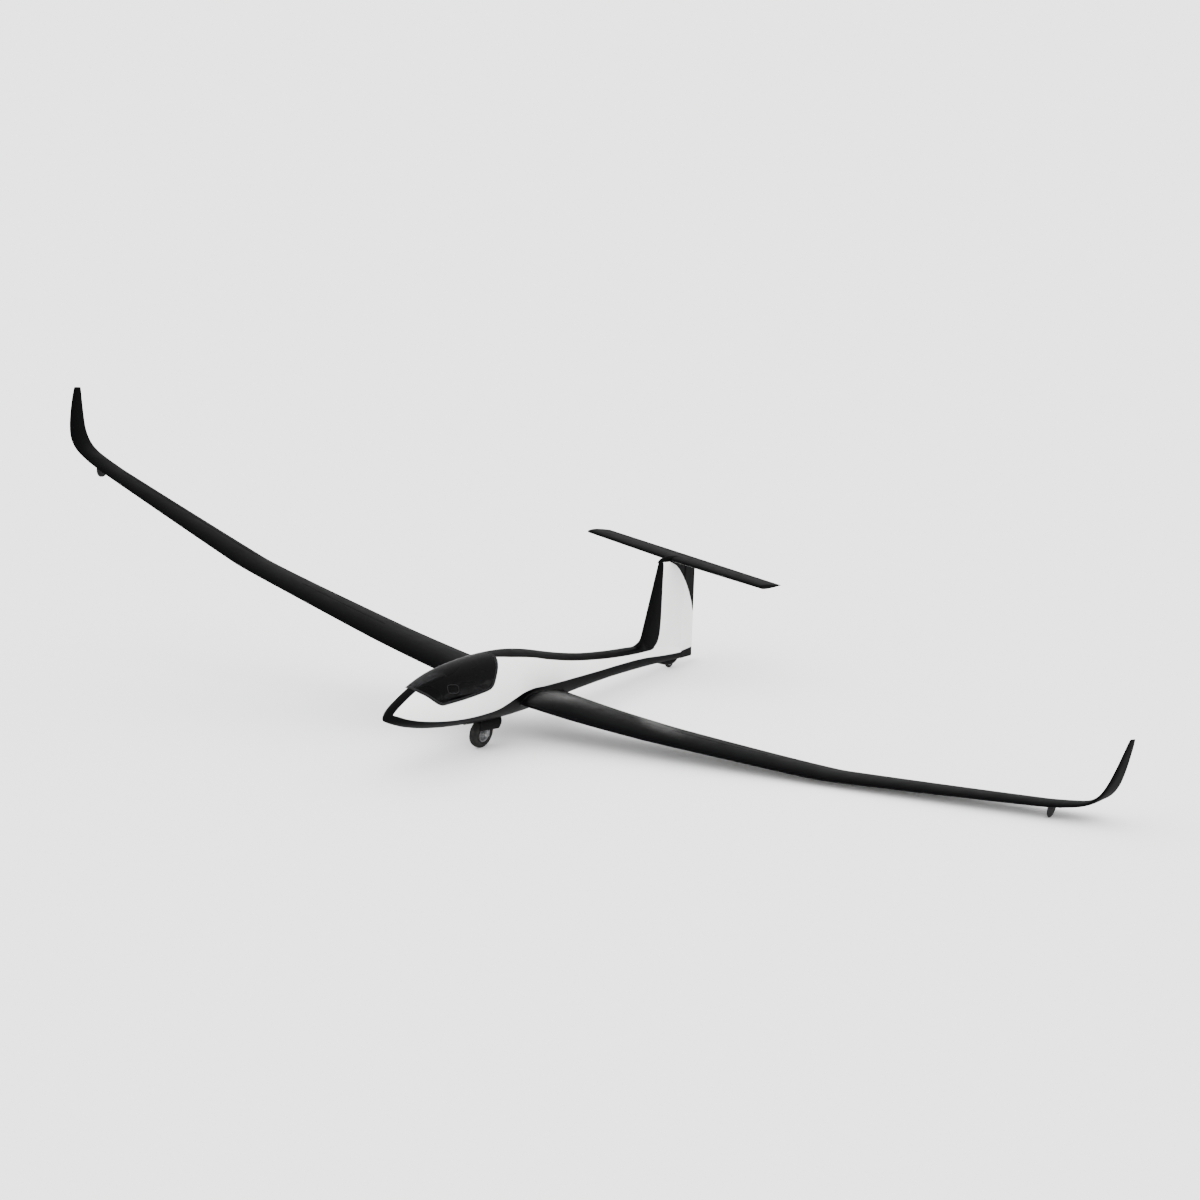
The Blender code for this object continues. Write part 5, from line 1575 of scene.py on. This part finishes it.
def make_tail_fairing():
    """A streamlined blister round the tail wheel, open below for it."""
    rows = [
        (5.700, 0.060, 0.006), (5.780, 0.040, 0.022), (5.900, 0.016, 0.036), (6.040, -0.002, 0.042),
        (6.140, 0.012, 0.040), (6.190, 0.046, 0.034), (6.205, 0.064, 0.028),
    ]
    rings = []
    for y in spread(5.700, 6.205, 60):
        bottom = smooth_line(rows, y, 1)
        half_width = smooth_line(rows, y, 2)
        middle = (0.110 + bottom) / 2
        height = (0.110 - bottom) / 2
        rings.append([(half_width * a, y, middle + height * b) for a, b in disc(1.0, 48)])
    fairing = skin("tail_fairing", rings)
    fairing.data.materials.append(LOOKS["hull"])
    cut(fairing, skin("boom_margin", hull_rings(5.5, BOOM_END, -TOUCH)))
    reach = TAIL_TYRE[0] + 0.006
    low = (-TAIL_SLOT_HALF_WIDTH, TAIL_WHEEL.y - reach, -0.3)
    cut(fairing, block("fairing_slot", low, (TAIL_SLOT_HALF_WIDTH, TAIL_WHEEL.y + reach, 0.3)))
    fit_out(fairing, "airframe", None, ["tail_wheel_fairing"])


def make_tip_skids():
    """A smooth rubbing block under each wing, near the winglet."""
    below = wing_point(SKID_X, SKID_SHARE, -1)
    middle = (below + wing_point(SKID_X, SKID_SHARE, 1)) / 2
    low = below.z - SKID_DEPTH + 0.0016
    rows = [
        (0.0, 0.120, 0.020), (0.35, 0.112, 0.020), (0.70, 0.090, 0.018), (0.92, 0.055, 0.014),
        (1.0, 0.028, 0.008),
    ]
    around = disc(1.0, 48)
    rings = []
    for share in spread(0.0, 1.0, 20):
        half_length = smooth_line(rows, share, 1)
        half_width = smooth_line(rows, share, 2)
        height = middle.z + share * (low - middle.z)
        rings.append([(SKID_X + half_width * a, middle.y + half_length * b, height) for a, b in around])
    skid = skin("tip_skid_block_left", rings)
    margin = []
    for x in (6.75, 6.98):
        line = [wing_point(x, share, -1) - Vector((0.0, 0.0, TOUCH)) for share in FOIL_SHARES]
        margin.append(line + [line[-1] + Vector((0.0, 0.02, 0.3)), line[0] + Vector((0.0, -0.02, 0.3))])
    cut(skid, skin("wing_margin", margin))
    soften(skid, 0.0015)
    fit_out_pair(skid, "airframe", LOOKS["plastic"], "tip_skid")


# Cockpit


def seat_offset(distance):
    """The seat pan's side view moved towards the pilot by a distance."""
    moved = []
    for index, (y, z) in enumerate(SEAT_LINE):
        before = SEAT_LINE[max(index - 1, 0)]
        after = SEAT_LINE[min(index + 1, len(SEAT_LINE) - 1)]
        run = Vector((after[0] - before[0], after[1] - before[1])).normalized()
        moved.append(Vector((0.0, y - run.y * distance, z + run.x * distance)))
    return moved


def above_seat(point, line):
    """How high a point is over the seat pan, and the nearest part's direction up."""
    best = None
    for low, high in zip(line, line[1:]):
        run = (high - low).normalized()
        here = Vector((0.0, point.y, point.z)) - low
        share = min(max(here.dot(run), 0.0), (high - low).length)
        away = here - run * share
        if best is None or away.length < best[0]:
            up = Vector((0.0, -run.z, run.y))
            best = (away.length, away.dot(up), up)
    return best[1], best[2]


def puffed(piece, cap, voxel, pressure):
    """Cloth blown up a little from inside, each point moving no further than the cap."""
    apply_modifier(piece, "REMESH", mode="VOXEL", voxel_size=voxel)
    start = [vert.co.copy() for vert in piece.data.vertices]
    pick(piece)
    bpy.ops.object.modifier_add(type="CLOTH")
    cloth = piece.modifiers[-1]
    cloth.settings.use_pressure = True
    cloth.settings.uniform_pressure_force = pressure
    cloth.settings.effector_weights.gravity = 0.0
    for number in range(1, 21):
        bpy.context.scene.frame_set(number)
    bpy.ops.object.modifier_apply(modifier=cloth.name)
    bpy.context.scene.frame_set(1)
    for vert, before in zip(piece.data.vertices, start):
        move = vert.co - before
        if move.length > cap:
            vert.co = before + move.normalized() * cap
    apply_modifier(piece, "SUBSURF", levels=1, render_levels=1)


def cover_of(piece, points):
    """A pad's faces, to look up places on them, through its points in the frame that is asked for."""
    return BVHTree.FromPolygons(points, [list(face.vertices) for face in piece.data.polygons])


def trim_to_cockpit(piece):
    """Cuts away what would reach into the cockpit's walls."""
    cut(piece, skin("inside", hull_rings(0.35, 1.675, SHELL_WALL + TOUCH)), "INTERSECT")


def piping(name, piece, loop):
    """A thin cord sewn round a pad, where the points of a loop lie nearest to its cover."""
    cover = cover_of(piece, [vert.co for vert in piece.data.vertices])
    path = []
    ups = []
    for point in loop:
        spot, normal = cover.find_nearest(point)[:2]
        path.append(spot + normal * 0.0006)
        ups.append(normal)
    count = len(path)
    for _ in range(3):
        path = [(path[i - 1] + path[i] * 2 + path[(i + 1) % count]) / 4 for i in range(count)]
    cord = swept(name, path, disc(0.0027, 12), ups, True)
    fit_out(cord, "airframe", LOOKS["webbing"])


def make_seat_cushion():
    """One long cushion down the pan, with four sewn channels across it and piping round its edge."""
    pan = seat_offset(PAN_THICKNESS + TOUCH)
    middle = curved(seat_offset(PAN_THICKNESS + CUSHION_THICKNESS * 0.5)[1:], 8)
    rings = []
    sides = []
    count = len(middle) - 1
    for index, here in enumerate(middle):
        after = middle[min(index + 1, count)]
        before = middle[max(index - 1, 0)]
        run = (after - before).normalized()
        up = Vector((0.0, -run.z, run.y))
        end = min(index, count - index) / 3.0
        narrow = 0.030 * max(1.0 - end, 0.0) ** 2
        width = 0.160 + 0.018 * index / count - narrow
        thick = 0.0115 - 0.003 * max(1.0 - end, 0.0)
        rings.append([
            here + Vector((width * signed_power(a, 0.28), 0.0, 0.0)) + up * thick * signed_power(b, 0.6)
            for a, b in disc(1.0, 48)
        ])
        sides.append((here, width))
    cushion = skin("seat_cushion_padded", rings)
    puffed(cushion, 0.008, 0.006, 4.0)
    seams = [middle[round(count * share)] for share in (0.22, 0.44, 0.66, 0.85)]
    for vert in cushion.data.vertices:
        height, up = above_seat(vert.co, pan)
        dip = 0.0
        for seam in seams:
            away = (Vector((0.0, vert.co.y, vert.co.z)) - seam).length
            dip = max(dip, math.exp(-(max(away - 0.012, 0.0) / 0.007) ** 2))
        fade = min(max((0.165 - abs(vert.co.x)) / 0.02, 0.0), 1.0)
        if height > CUSHION_THICKNESS * 0.55:
            vert.co -= up * 0.0085 * dip * fade
        height, up = above_seat(vert.co, pan)
        if height < 0.0006:
            vert.co += up * (0.0006 - height)
    loop = []
    for way, order in ((1, sides), (-1, sides[::-1])):
        loop += [here + Vector((way * width, 0.0, 0.0)) for here, width in order]
        here, width = order[-1]
        loop += [here + Vector((way * width * share, 0.0, 0.0)) for share in spread(0.9, -0.9, 14)]
    piping("seat_cushion_piping", cushion, loop)
    fit_out(cushion, "airframe", LOOKS["cloth"], ["seat_cushion"], 60.0)
    return cushion


def make_headrest():
    """A rounded pad on its bracket, with piping round the front edge."""
    back = HEADREST_BACK - TOUCH
    pad = soft_block("headrest_padded", (-0.099, back - 0.045, 0.228), (0.099, back - 0.001, 0.346), 0.020, 6)
    puffed(pad, 0.007, 0.005, 4.0)
    for vert in pad.data.vertices:
        vert.co.y = min(vert.co.y, back)
        spot = math.exp(-((vert.co.x / 0.016) ** 2 + ((vert.co.z - 0.287) / 0.016) ** 2))
        if vert.co.y < back - 0.03:
            vert.co.y += 0.010 * spot
    loop = []
    for a, b in disc(1.0, 72):
        x = 0.104 * signed_power(a, 0.45)
        loop.append(Vector((x, back - 0.034, 0.287 + 0.064 * signed_power(b, 0.45))))
    piping("headrest_piping", pad, loop)
    fit_out(pad, "airframe", LOOKS["cloth"], ["headrest"], 60.0)
    profile = [(0.0, -0.002), (0.008, -0.0015), (0.010, 0.001), (0.008, 0.003), (0.0, 0.003)]
    button = turned_aft("button", profile, (0.0, back - 0.042, 0.287), 28)
    fit_out(button, "airframe", LOOKS["plastic"])


def make_harness(cushion):
    """Lap, shoulder and centre straps lying on the cushion and meeting in one round buckle."""
    ground = AIRFRAME.inverted()
    surface = cover_of(cushion, [ground @ vert.co for vert in cushion.data.vertices])
    pan = seat_offset(PAN_THICKNESS)
    line = curved(seat_offset(PAN_THICKNESS + CUSHION_THICKNESS), 8)

    def laid(points, lift):
        """A strap drawn through places over the seat, resting on the cushion where there is one."""
        path = []
        ups = []
        for point in curved(points, 9):
            up = above_seat(point, pan)[1]
            hit = surface.ray_cast(point + up * 0.10, -up, 0.14)
            if hit[0] is not None:
                low = (point - hit[0]).dot(up)
                point = point + up * (lift - low) if low < lift else point
            path.append(point)
            ups.append(up)
        for _ in range(3):
            middle = [(path[i - 1] + path[i] * 2 + path[i + 1]) / 4 for i in range(1, len(path) - 1)]
            path = [path[0]] + middle + [path[-1]]
        return path, ups

    def over(x, share, lift):
        """A place over the cushion, at a share of its length."""
        here = line[round((len(line) - 1) * share)]
        return Vector((x, here.y, here.z)) + above_seat(here, pan)[1] * lift

    straps = []
    buckle = over(0.0, 0.52, 0.010)
    buckle_up = above_seat(buckle, pan)[1]
    buckle_ahead = Vector((0.0, buckle_up.z, -buckle_up.y))
    wall = hull_side(1.405, -0.125, SHELL_WALL)
    slides = []
    for side in (-1, 1):
        shoulder = [
            Vector((side * 0.076, SEAT_BULKHEAD + 0.055, SHELF_HEIGHT + 0.004)),
            Vector((side * 0.075, SEAT_BULKHEAD + 0.012, SHELF_HEIGHT + 0.006)),
            Vector((side * 0.074, SEAT_BULKHEAD - 0.014, SHELF_HEIGHT + 0.002)),
            over(side * 0.074, 0.96, 0.004), over(side * 0.078, 0.84, 0.003),
            over(side * 0.070, 0.70, 0.003), over(side * 0.045, 0.60, 0.004),
            buckle + Vector((side * 0.016, 0.0, 0.0)) + buckle_ahead * 0.018,
        ]
        lap = [
            Vector((side * (wall - 0.004), 1.405, -0.125)), over(side * 0.175, 0.585, 0.010),
            over(side * 0.12, 0.565, 0.004), over(side * 0.07, 0.545, 0.004),
            buckle + Vector((side * 0.020, 0.0, 0.0)),
        ]
        for points, lift, share in ((shoulder, 0.0026, 0.42), (lap, 0.0018, 0.5)):
            path, ups = laid(points, lift)
            straps.append(swept("strap", path, webbing(0.040, 0.0022), ups))
            spot = round(len(path) * share)
            slides.append((path[spot], (path[spot + 1] - path[spot - 1]).normalized(), ups[spot]))
    path, ups = laid([
        Vector((0.0, 1.190, -0.214)), over(0.0, 0.33, 0.004), over(0.0, 0.43, 0.004),
        buckle - buckle_ahead * 0.018,
    ], 0.0018)
    straps.append(swept("centre", path, webbing(0.036, 0.0022), ups))
    fit_out(joined("harness_straps", straps), "airframe", LOOKS["webbing"], (), 50.0)
    metal = []
    y = SEAT_BULKHEAD + 0.055
    level = SHELF_HEIGHT + TOUCH
    for side in (-1, 1):
        x = side * 0.076
        low = (x - 0.024, y - 0.012, level)
        metal.append(soft_block("strap_anchor", low, (x + 0.024, y + 0.022, level + 0.006), 0.0015))
        for along in (x - 0.013, x + 0.013):
            foot = Vector((along, y + 0.010, level))
            metal.append(rod("anchor_bolt", foot, (along, y + 0.010, level + 0.010), 0.0048, 6, 0.0008))
        x = side * (wall - 0.005)
        metal.append(soft_block("lap_anchor", (x - 0.004, 1.385, -0.142), (x + 0.004, 1.425, -0.108), 0.0015))
    for place, run, up in slides:
        turn = Matrix((run.cross(up).normalized(), run, up)).transposed().to_4x4()
        for x, y, width, length in (
            (0.0, -0.011, 0.025, 0.003), (0.0, 0.011, 0.025, 0.003),
            (-0.0235, 0.0, 0.0025, 0.013), (0.0235, 0.0, 0.0025, 0.013),
        ):
            low = (x - width, y - length, -0.0005)
            bar = soft_block("slide_bar", low, (x + width, y + length, 0.0030), 0.0010, 2)
            bar.data.transform(Matrix.Translation(place) @ turn)
            metal.append(bar)
    profile = [
        (0.0, 0.0), (0.029, 0.0), (0.031, 0.002), (0.031, 0.007), (0.028, 0.010), (0.020, 0.011),
        (0.019, 0.0095), (0.017, 0.0095), (0.016, 0.012), (0.004, 0.013), (0.0, 0.013),
    ]
    case = turned("buckle", profile, (0.0, 0.0, 0.0), 48)
    facing = Matrix((buckle_up, buckle_up.cross(LEFT).normalized(), LEFT)).transposed().to_4x4()
    case.data.transform(Matrix.Translation(buckle) @ facing)
    metal.append(case)
    fit_out(joined("harness_buckle", metal), "airframe", LOOKS["alloy"])


def pod_ring(y, scale):
    """The instrument pod's outline at a station, drawn in towards its middle."""
    ring = []
    for a, b in disc(1.0, 56):
        x = 0.150 * signed_power(a, 2 / 2.7)
        z = 0.070 + 0.130 * signed_power(b, 2 / 2.7)
        ring.append((x * scale, y, 0.07 + (z - 0.07) * scale))
    return ring


def dial_rim(x, z, radius):
    """A dial's bezel and its four screws."""
    pieces = [turned_aft("bezel", [
        (radius * 0.90, -0.001), (radius, -0.001), (radius * 1.02, 0.001), (radius, 0.0045),
        (radius * 0.95, 0.0055), (radius * 0.90, 0.0045), (radius * 0.88, 0.0015),
    ], (x, PANEL_FACE, z), 48)]
    for corner in range(4):
        angle = math.pi / 4 + math.pi / 2 * corner
        place = Vector((x + radius * 1.16 * math.cos(angle), PANEL_FACE, z + radius * 1.16 * math.sin(angle)))
        ends = (place - Vector((0.0, 0.001, 0.0)), place + Vector((0.0, 0.0016, 0.0)))
        pieces.append(rod("screw", *ends, 0.0024, 14, 0.0004))
    return pieces


def figure(digit, place):
    """A raised figure on a dial, facing the pilot."""
    deselect_all()
    bpy.ops.object.text_add()
    sign = bpy.context.object
    sign.data.body = str(digit)
    sign.data.size = 0.0095
    sign.data.align_x = "CENTER"
    sign.data.align_y = "CENTER"
    sign.data.extrude = 0.0003
    sign.data.resolution_u = 3
    bpy.ops.object.convert(target="MESH")
    sign = bpy.context.object
    edit(sign)
    bpy.ops.mesh.remove_doubles(threshold=MERGE)
    done()
    facing = Matrix.Rotation(math.pi, 4, "Z") @ Matrix.Rotation(math.pi / 2, 4, "X")
    sign.data.transform(Matrix.Translation(place) @ facing)
    return sign


def dial_marks(x, z, radius, sweep):
    """A dial's ticks and hand, and its figures where it is large."""
    marks = []
    count = 20 if radius > LARGE_DIAL else 12
    for step in range(count):
        inner = radius * (0.66 if step % 2 == 0 else 0.74)
        mark = block("tick", (-0.0005, 0.0008, inner), (0.0005, 0.0016, radius * 0.84))
        turn = Matrix.Rotation(2 * math.pi * step / count, 4, "Y")
        mark.data.transform(Matrix.Translation((x, PANEL_FACE, z)) @ turn)
        marks.append(mark)
    deselect_all()
    bpy.ops.mesh.primitive_cone_add(vertices=4, radius1=0.0020, radius2=0.0006, depth=radius * 0.75)
    hand = bpy.context.object
    hand.data.transform(
        Matrix.Translation((x, PANEL_FACE + 0.0026, z)) @ Matrix.Rotation(sweep, 4, "Y")
        @ Matrix.Diagonal((1.0, 0.4, 1.0, 1.0)) @ Matrix.Translation((0.0, 0.0, radius * 0.26))
    )
    marks.append(hand)
    if radius > LARGE_DIAL:
        reach = radius * 0.52
        for digit in range(10):
            angle = 2 * math.pi * digit / 10
            place = (x - reach * math.sin(angle), PANEL_FACE + 0.0014, z + reach * math.cos(angle))
            marks.append(figure(digit, place))
    return marks


def make_instruments():
    """A moulded pod on a pedestal, with flying instruments in its face."""
    rows = [
        (0.660, 0.70), (0.664, 0.74), (0.680, 0.82), (0.700, 0.89), (0.725, 0.945), (0.760, 0.98),
        (0.795, 0.995), (0.803, 0.995), (0.808, 0.985), (0.811, 0.965), (PANEL_FACE, 0.950),
    ]
    pod = skin("instrument_pod", [pod_ring(*row) for row in rows])
    cut(pod, soft_block("stand", (-0.045, 0.690, -0.270), (0.045, 0.780, 0.020), 0.012, 4), "UNION")
    trim_to_cockpit(pod)
    fit_out(pod, "airframe", LOOKS["plastic"], ["instrument_panel"], 40.0)
    bezels = []
    faces = []
    marks = []
    for x, z, radius, sweep in DIALS:
        rim = radius * 0.93
        plate = [(0.0, 0.0002), (rim, 0.0002), (rim, 0.0012), (0.0, 0.0012)]
        bezels += dial_rim(x, z, radius)
        faces.append(turned_aft("plate", plate, (x, PANEL_FACE, z), 48))
        marks += dial_marks(x, z, radius, sweep)
    low = (-0.034, PANEL_FACE - 0.001, -0.052)
    bezels.append(soft_block("screen", low, (0.034, PANEL_FACE + 0.0030, -0.022), 0.0016, 3))
    profile = [(0.0, 0.0), (0.0065, 0.0), (0.0065, 0.008), (0.0055, 0.0095), (0.0, 0.0095)]
    for x in (-0.045, 0.045):
        bezels.append(turned_aft("knob", profile, (x, PANEL_FACE, -0.030), 24))
    fit_out(joined("instrument_bezels", bezels), "airframe", LOOKS["frame"])
    fit_out(joined("instrument_faces", faces), "airframe", LOOKS["dial"])
    fit_out(joined("instrument_marks", marks), "airframe", LOOKS["mark"], (), 20.0)


def upright(name, rows, y, count):
    """A turned grip or gaiter round an upright line, from rows of height and radius."""
    around = disc(1.0, count)
    return skin(name, [[(radius * a, y + radius * b, height) for a, b in around] for height, radius in rows])


def make_stick():
    """A cranked tube with a moulded grip, a talk button and a gaiter at its foot."""
    floor = smooth_line(FUSELAGE_LINES, 0.885, 2) + SHELL_WALL + TOUCH
    path = curved([(0, 0.885, floor), (0, 0.885, -0.14), (0, 0.875, -0.05), (0, 0.875, 0.0)], 8)
    stem = swept("control_column", path, disc(0.0095, 20), LEFT)
    fit_out(stem, "airframe", LOOKS["steel"], ["control_stick"])
    rows = [(-0.032, 0.010), (-0.031, 0.0150), (-0.028, 0.0165)]
    for step in range(33):
        share = step / 32
        finger = 0.0011 * math.cos(share * 2 * math.pi * 4)
        rows.append((-0.026 + 0.070 * share, 0.0160 - 0.0022 * share + finger + 0.002 * share**4))
    rows += [(0.048, 0.0155), (0.052, 0.0135), (0.0545, 0.010), (0.0555, 0.005), (0.0558, 0.0012)]
    grip = upright("control_grip", rows, 0.875, 36)
    button = rod("talk_button", (0.0, 0.8645, 0.0445), (0.0, 0.8575, 0.0475), 0.0045, 20, 0.0008)
    rows = [(floor + 0.0002, 0.052)]
    for step in range(1, 37):
        share = step / 36
        fold = 0.0035 * math.sin(share * 2 * math.pi * 5)
        rows.append((floor + 0.0002 + 0.085 * share, 0.050 - 0.037 * share + fold))
    gaiter = upright("stick_gaiter", rows, 0.885, 48)
    fit_out(grip, "airframe", LOOKS["plastic"])
    fit_out(gaiter, "airframe", LOOKS["rubber"])
    fit_out(button, "airframe", LOOKS["red"])


def make_pedals():
    """Two ribbed foot plates on a cross bar and post."""
    bottom = smooth_line(FUSELAGE_LINES, 0.5, 2) + SHELL_WALL + TOUCH
    parts = [
        rod("pedal_bar", (-0.148, 0.500, -0.130), (0.148, 0.500, -0.130), 0.009, 28, 0.0015),
        soft_block("pedal_post", (-0.012, 0.488, bottom), (0.012, 0.512, -0.126), 0.003),
    ]
    ridges = []
    for side in (-1, 1):
        x = side * 0.105
        low = (x - 0.037, 0.4945, -0.132)
        parts.append(soft_block("pedal_plate", low, (x + 0.037, 0.5055, 0.009), 0.0045, 4))
        for step in range(9):
            z = -0.110 + 0.0128 * step
            low = (x - 0.030, 0.5040, z)
            ridges.append(soft_block("ridge", low, (x + 0.030, 0.5080, z + 0.0058), 0.0016, 2))
        for way in (-1, 1):
            start, end = ((x + way * 0.033, y, -0.126) for y in (0.500, 0.516))
            parts.append(rod("heel_stop", start, end, 0.004, 16, 0.001))
    metal = joined("pedal_frame", parts)
    trim_to_cockpit(metal)
    fit_out(metal, "airframe", LOOKS["steel"], ["rudder_pedals"])
    fit_out(joined("pedal_ridges", ridges), "airframe", LOOKS["rubber"])


def make_levers():
    """Bent rods from the cockpit's walls, each with its own moulded handle and a wall plate."""
    for name, side, y, z, look, slot in (
        ("airbrake_lever", 1, 1.080, 0.000, "blue", "blue_handle"),
        ("gear_lever", -1, 1.020, 0.000, "plastic", "dark_plastic"),
        ("trim_lever", 1, 0.940, -0.060, "plastic", "dark_plastic"),
    ):
        wall = hull_side(y, z, SHELL_WALL) - TOUCH
        bend = [
            (side * (wall + 0.002), y, z), (side * (wall - 0.014), y, z),
            (side * (wall - 0.030), y - 0.004, z + 0.001),
            (side * (wall - 0.036), y - 0.022, z + 0.006), (side * (wall - 0.036), y - 0.088, z + 0.0198),
        ]
        arm = swept(name + "_rod", curved(bend, 7), disc(0.0062, 18))
        trim_to_cockpit(arm)
        fit_out(arm, "airframe", LOOKS["steel"])
        start = Vector(bend[3])
        run = (Vector(bend[4]) - start).normalized()
        lift = Vector((0.0, -run.z, run.y))
        rings = []
        for step in range(25):
            share = step / 24
            here = start + run * (0.002 + 0.070 * share)
            finger = 0.0010 * math.cos(share * 2 * math.pi * 3)
            dome = math.sqrt(max(1 - max((share - 0.86) / 0.14, 0.0) ** 2, 0.02))
            dome *= 0.7 + 0.3 * min(share / 0.08, 1.0)
            size = (0.0092 + finger) * dome
            wide = LEFT * size
            high = lift * size
            rings.append([here + wide * a * 0.9 + high * b for a, b in disc(1.0, 24)])
        fit_out(skin(name + "_handle", rings), "airframe", LOOKS[look], [name])
        guide = []
        for there in spread(y - 0.030, y + 0.030, 8):
            guide.append(Vector((side * (hull_side(there, z, SHELL_WALL) - 0.0018), there, z)))
        plate = swept(name + "_plate", guide, webbing(0.034, 0.0030), LEFT)
        fit_out(plate, "airframe", LOOKS["frame"])


# Nodes that keep their shape


def finish_nodes():
    """The finish of the solids that are shown as they are."""
    finishes = {
        "interior": ["seat_pan", "headrest_bracket"],
        "steel": ["gear_legs", "main_axle", "tail_axle", "tow_hook"],
    }
    for look, names in finishes.items():
        for name in names:
            node = frame["nodes"][name]
            for slot in node.material_slots:
                slot.material = LOOKS[look]
            if not node.material_slots:
                node.data.materials.append(LOOKS[look])


# Studio


def make_camera():
    """A camera where the parked aircraft is seen as the photograph shows it."""
    turn = Matrix((
        CAMERA_AHEAD.cross(CAMERA_UP).normalized(),
        CAMERA_UP.normalized(),
        -CAMERA_AHEAD.normalized(),
    )).transposed()
    lens = bpy.data.cameras.new("camera")
    lens.lens = CAMERA_LENS
    lens.sensor_width = CAMERA_SENSOR
    lens.clip_start = 1.0
    lens.clip_end = 400.0
    camera = bpy.data.objects.new("camera", lens)
    bpy.context.scene.collection.objects.link(camera)
    camera.matrix_world = AIRFRAME @ Matrix.Translation(CAMERA_PLACE) @ turn.to_4x4()
    bpy.context.scene.camera = camera


def make_studio():
    """A pale floor that runs far back, pale air all round, dimmer in the gloss, and two wide soft lights."""
    deselect_all()
    bpy.ops.mesh.primitive_plane_add(size=900.0, location=(0.0, 0.0, -0.0005))
    floor = bpy.context.object
    floor.name = "studio_floor"
    look, _, shader = new_look("studio_floor_paint")
    shader.inputs["Base Color"].default_value = (0.842, 0.842, 0.842, 1.0)
    shader.inputs["Roughness"].default_value = 0.9
    shader.inputs["Specular IOR Level"].default_value = 0.0
    floor.data.materials.append(look)
    floor.visible_glossy = False
    world = bpy.data.worlds.new("studio_air")
    bpy.context.scene.world = world
    world.use_nodes = True
    air = world.node_tree.nodes["Background"]
    air.inputs["Color"].default_value = (1.0, 1.0, 1.0, 1.0)
    rays = add_node(world.node_tree, "LightPath").outputs["Is Glossy Ray"]
    world.node_tree.links.new(
        remap(world.node_tree, rays, 0.0, 1.0, AIR_BRIGHTNESS, AIR_IN_GLOSS), air.inputs["Strength"]
    )
    for name, place, softness, power in (
        ("key_light", (7.0, -9.0, 14.0), 35.0, 1.65),
        ("fill_light", (-8.0, 3.0, 12.0), 60.0, 0.60),
    ):
        lamp = bpy.data.lights.new(name, "SUN")
        lamp.angle = math.radians(softness)
        lamp.energy = power
        light = bpy.data.objects.new(name, lamp)
        bpy.context.scene.collection.objects.link(light)
        light.visible_glossy = False
        light.location = place
        light.rotation_euler = (-Vector(place)).to_track_quat("-Z", "Y").to_euler()


make_camera()
make_hull_front()
make_hull_rear()
make_canopy()
make_canopy_fittings()
make_wings()
make_airbrakes()
make_ailerons()
make_winglets()
make_root_fillets()
make_wing_tapes()
make_fin()
make_fin_fillet()
make_tailplane_fairing()
make_rudder()
make_tailplane()
make_wheels()
make_gear_fittings()
make_gear_doors()
make_tow_hook_fittings()
make_tail_fairing()
make_tip_skids()
make_harness(make_seat_cushion())
make_headrest()
make_instruments()
make_stick()
make_pedals()
make_levers()
finish_nodes()
make_studio()
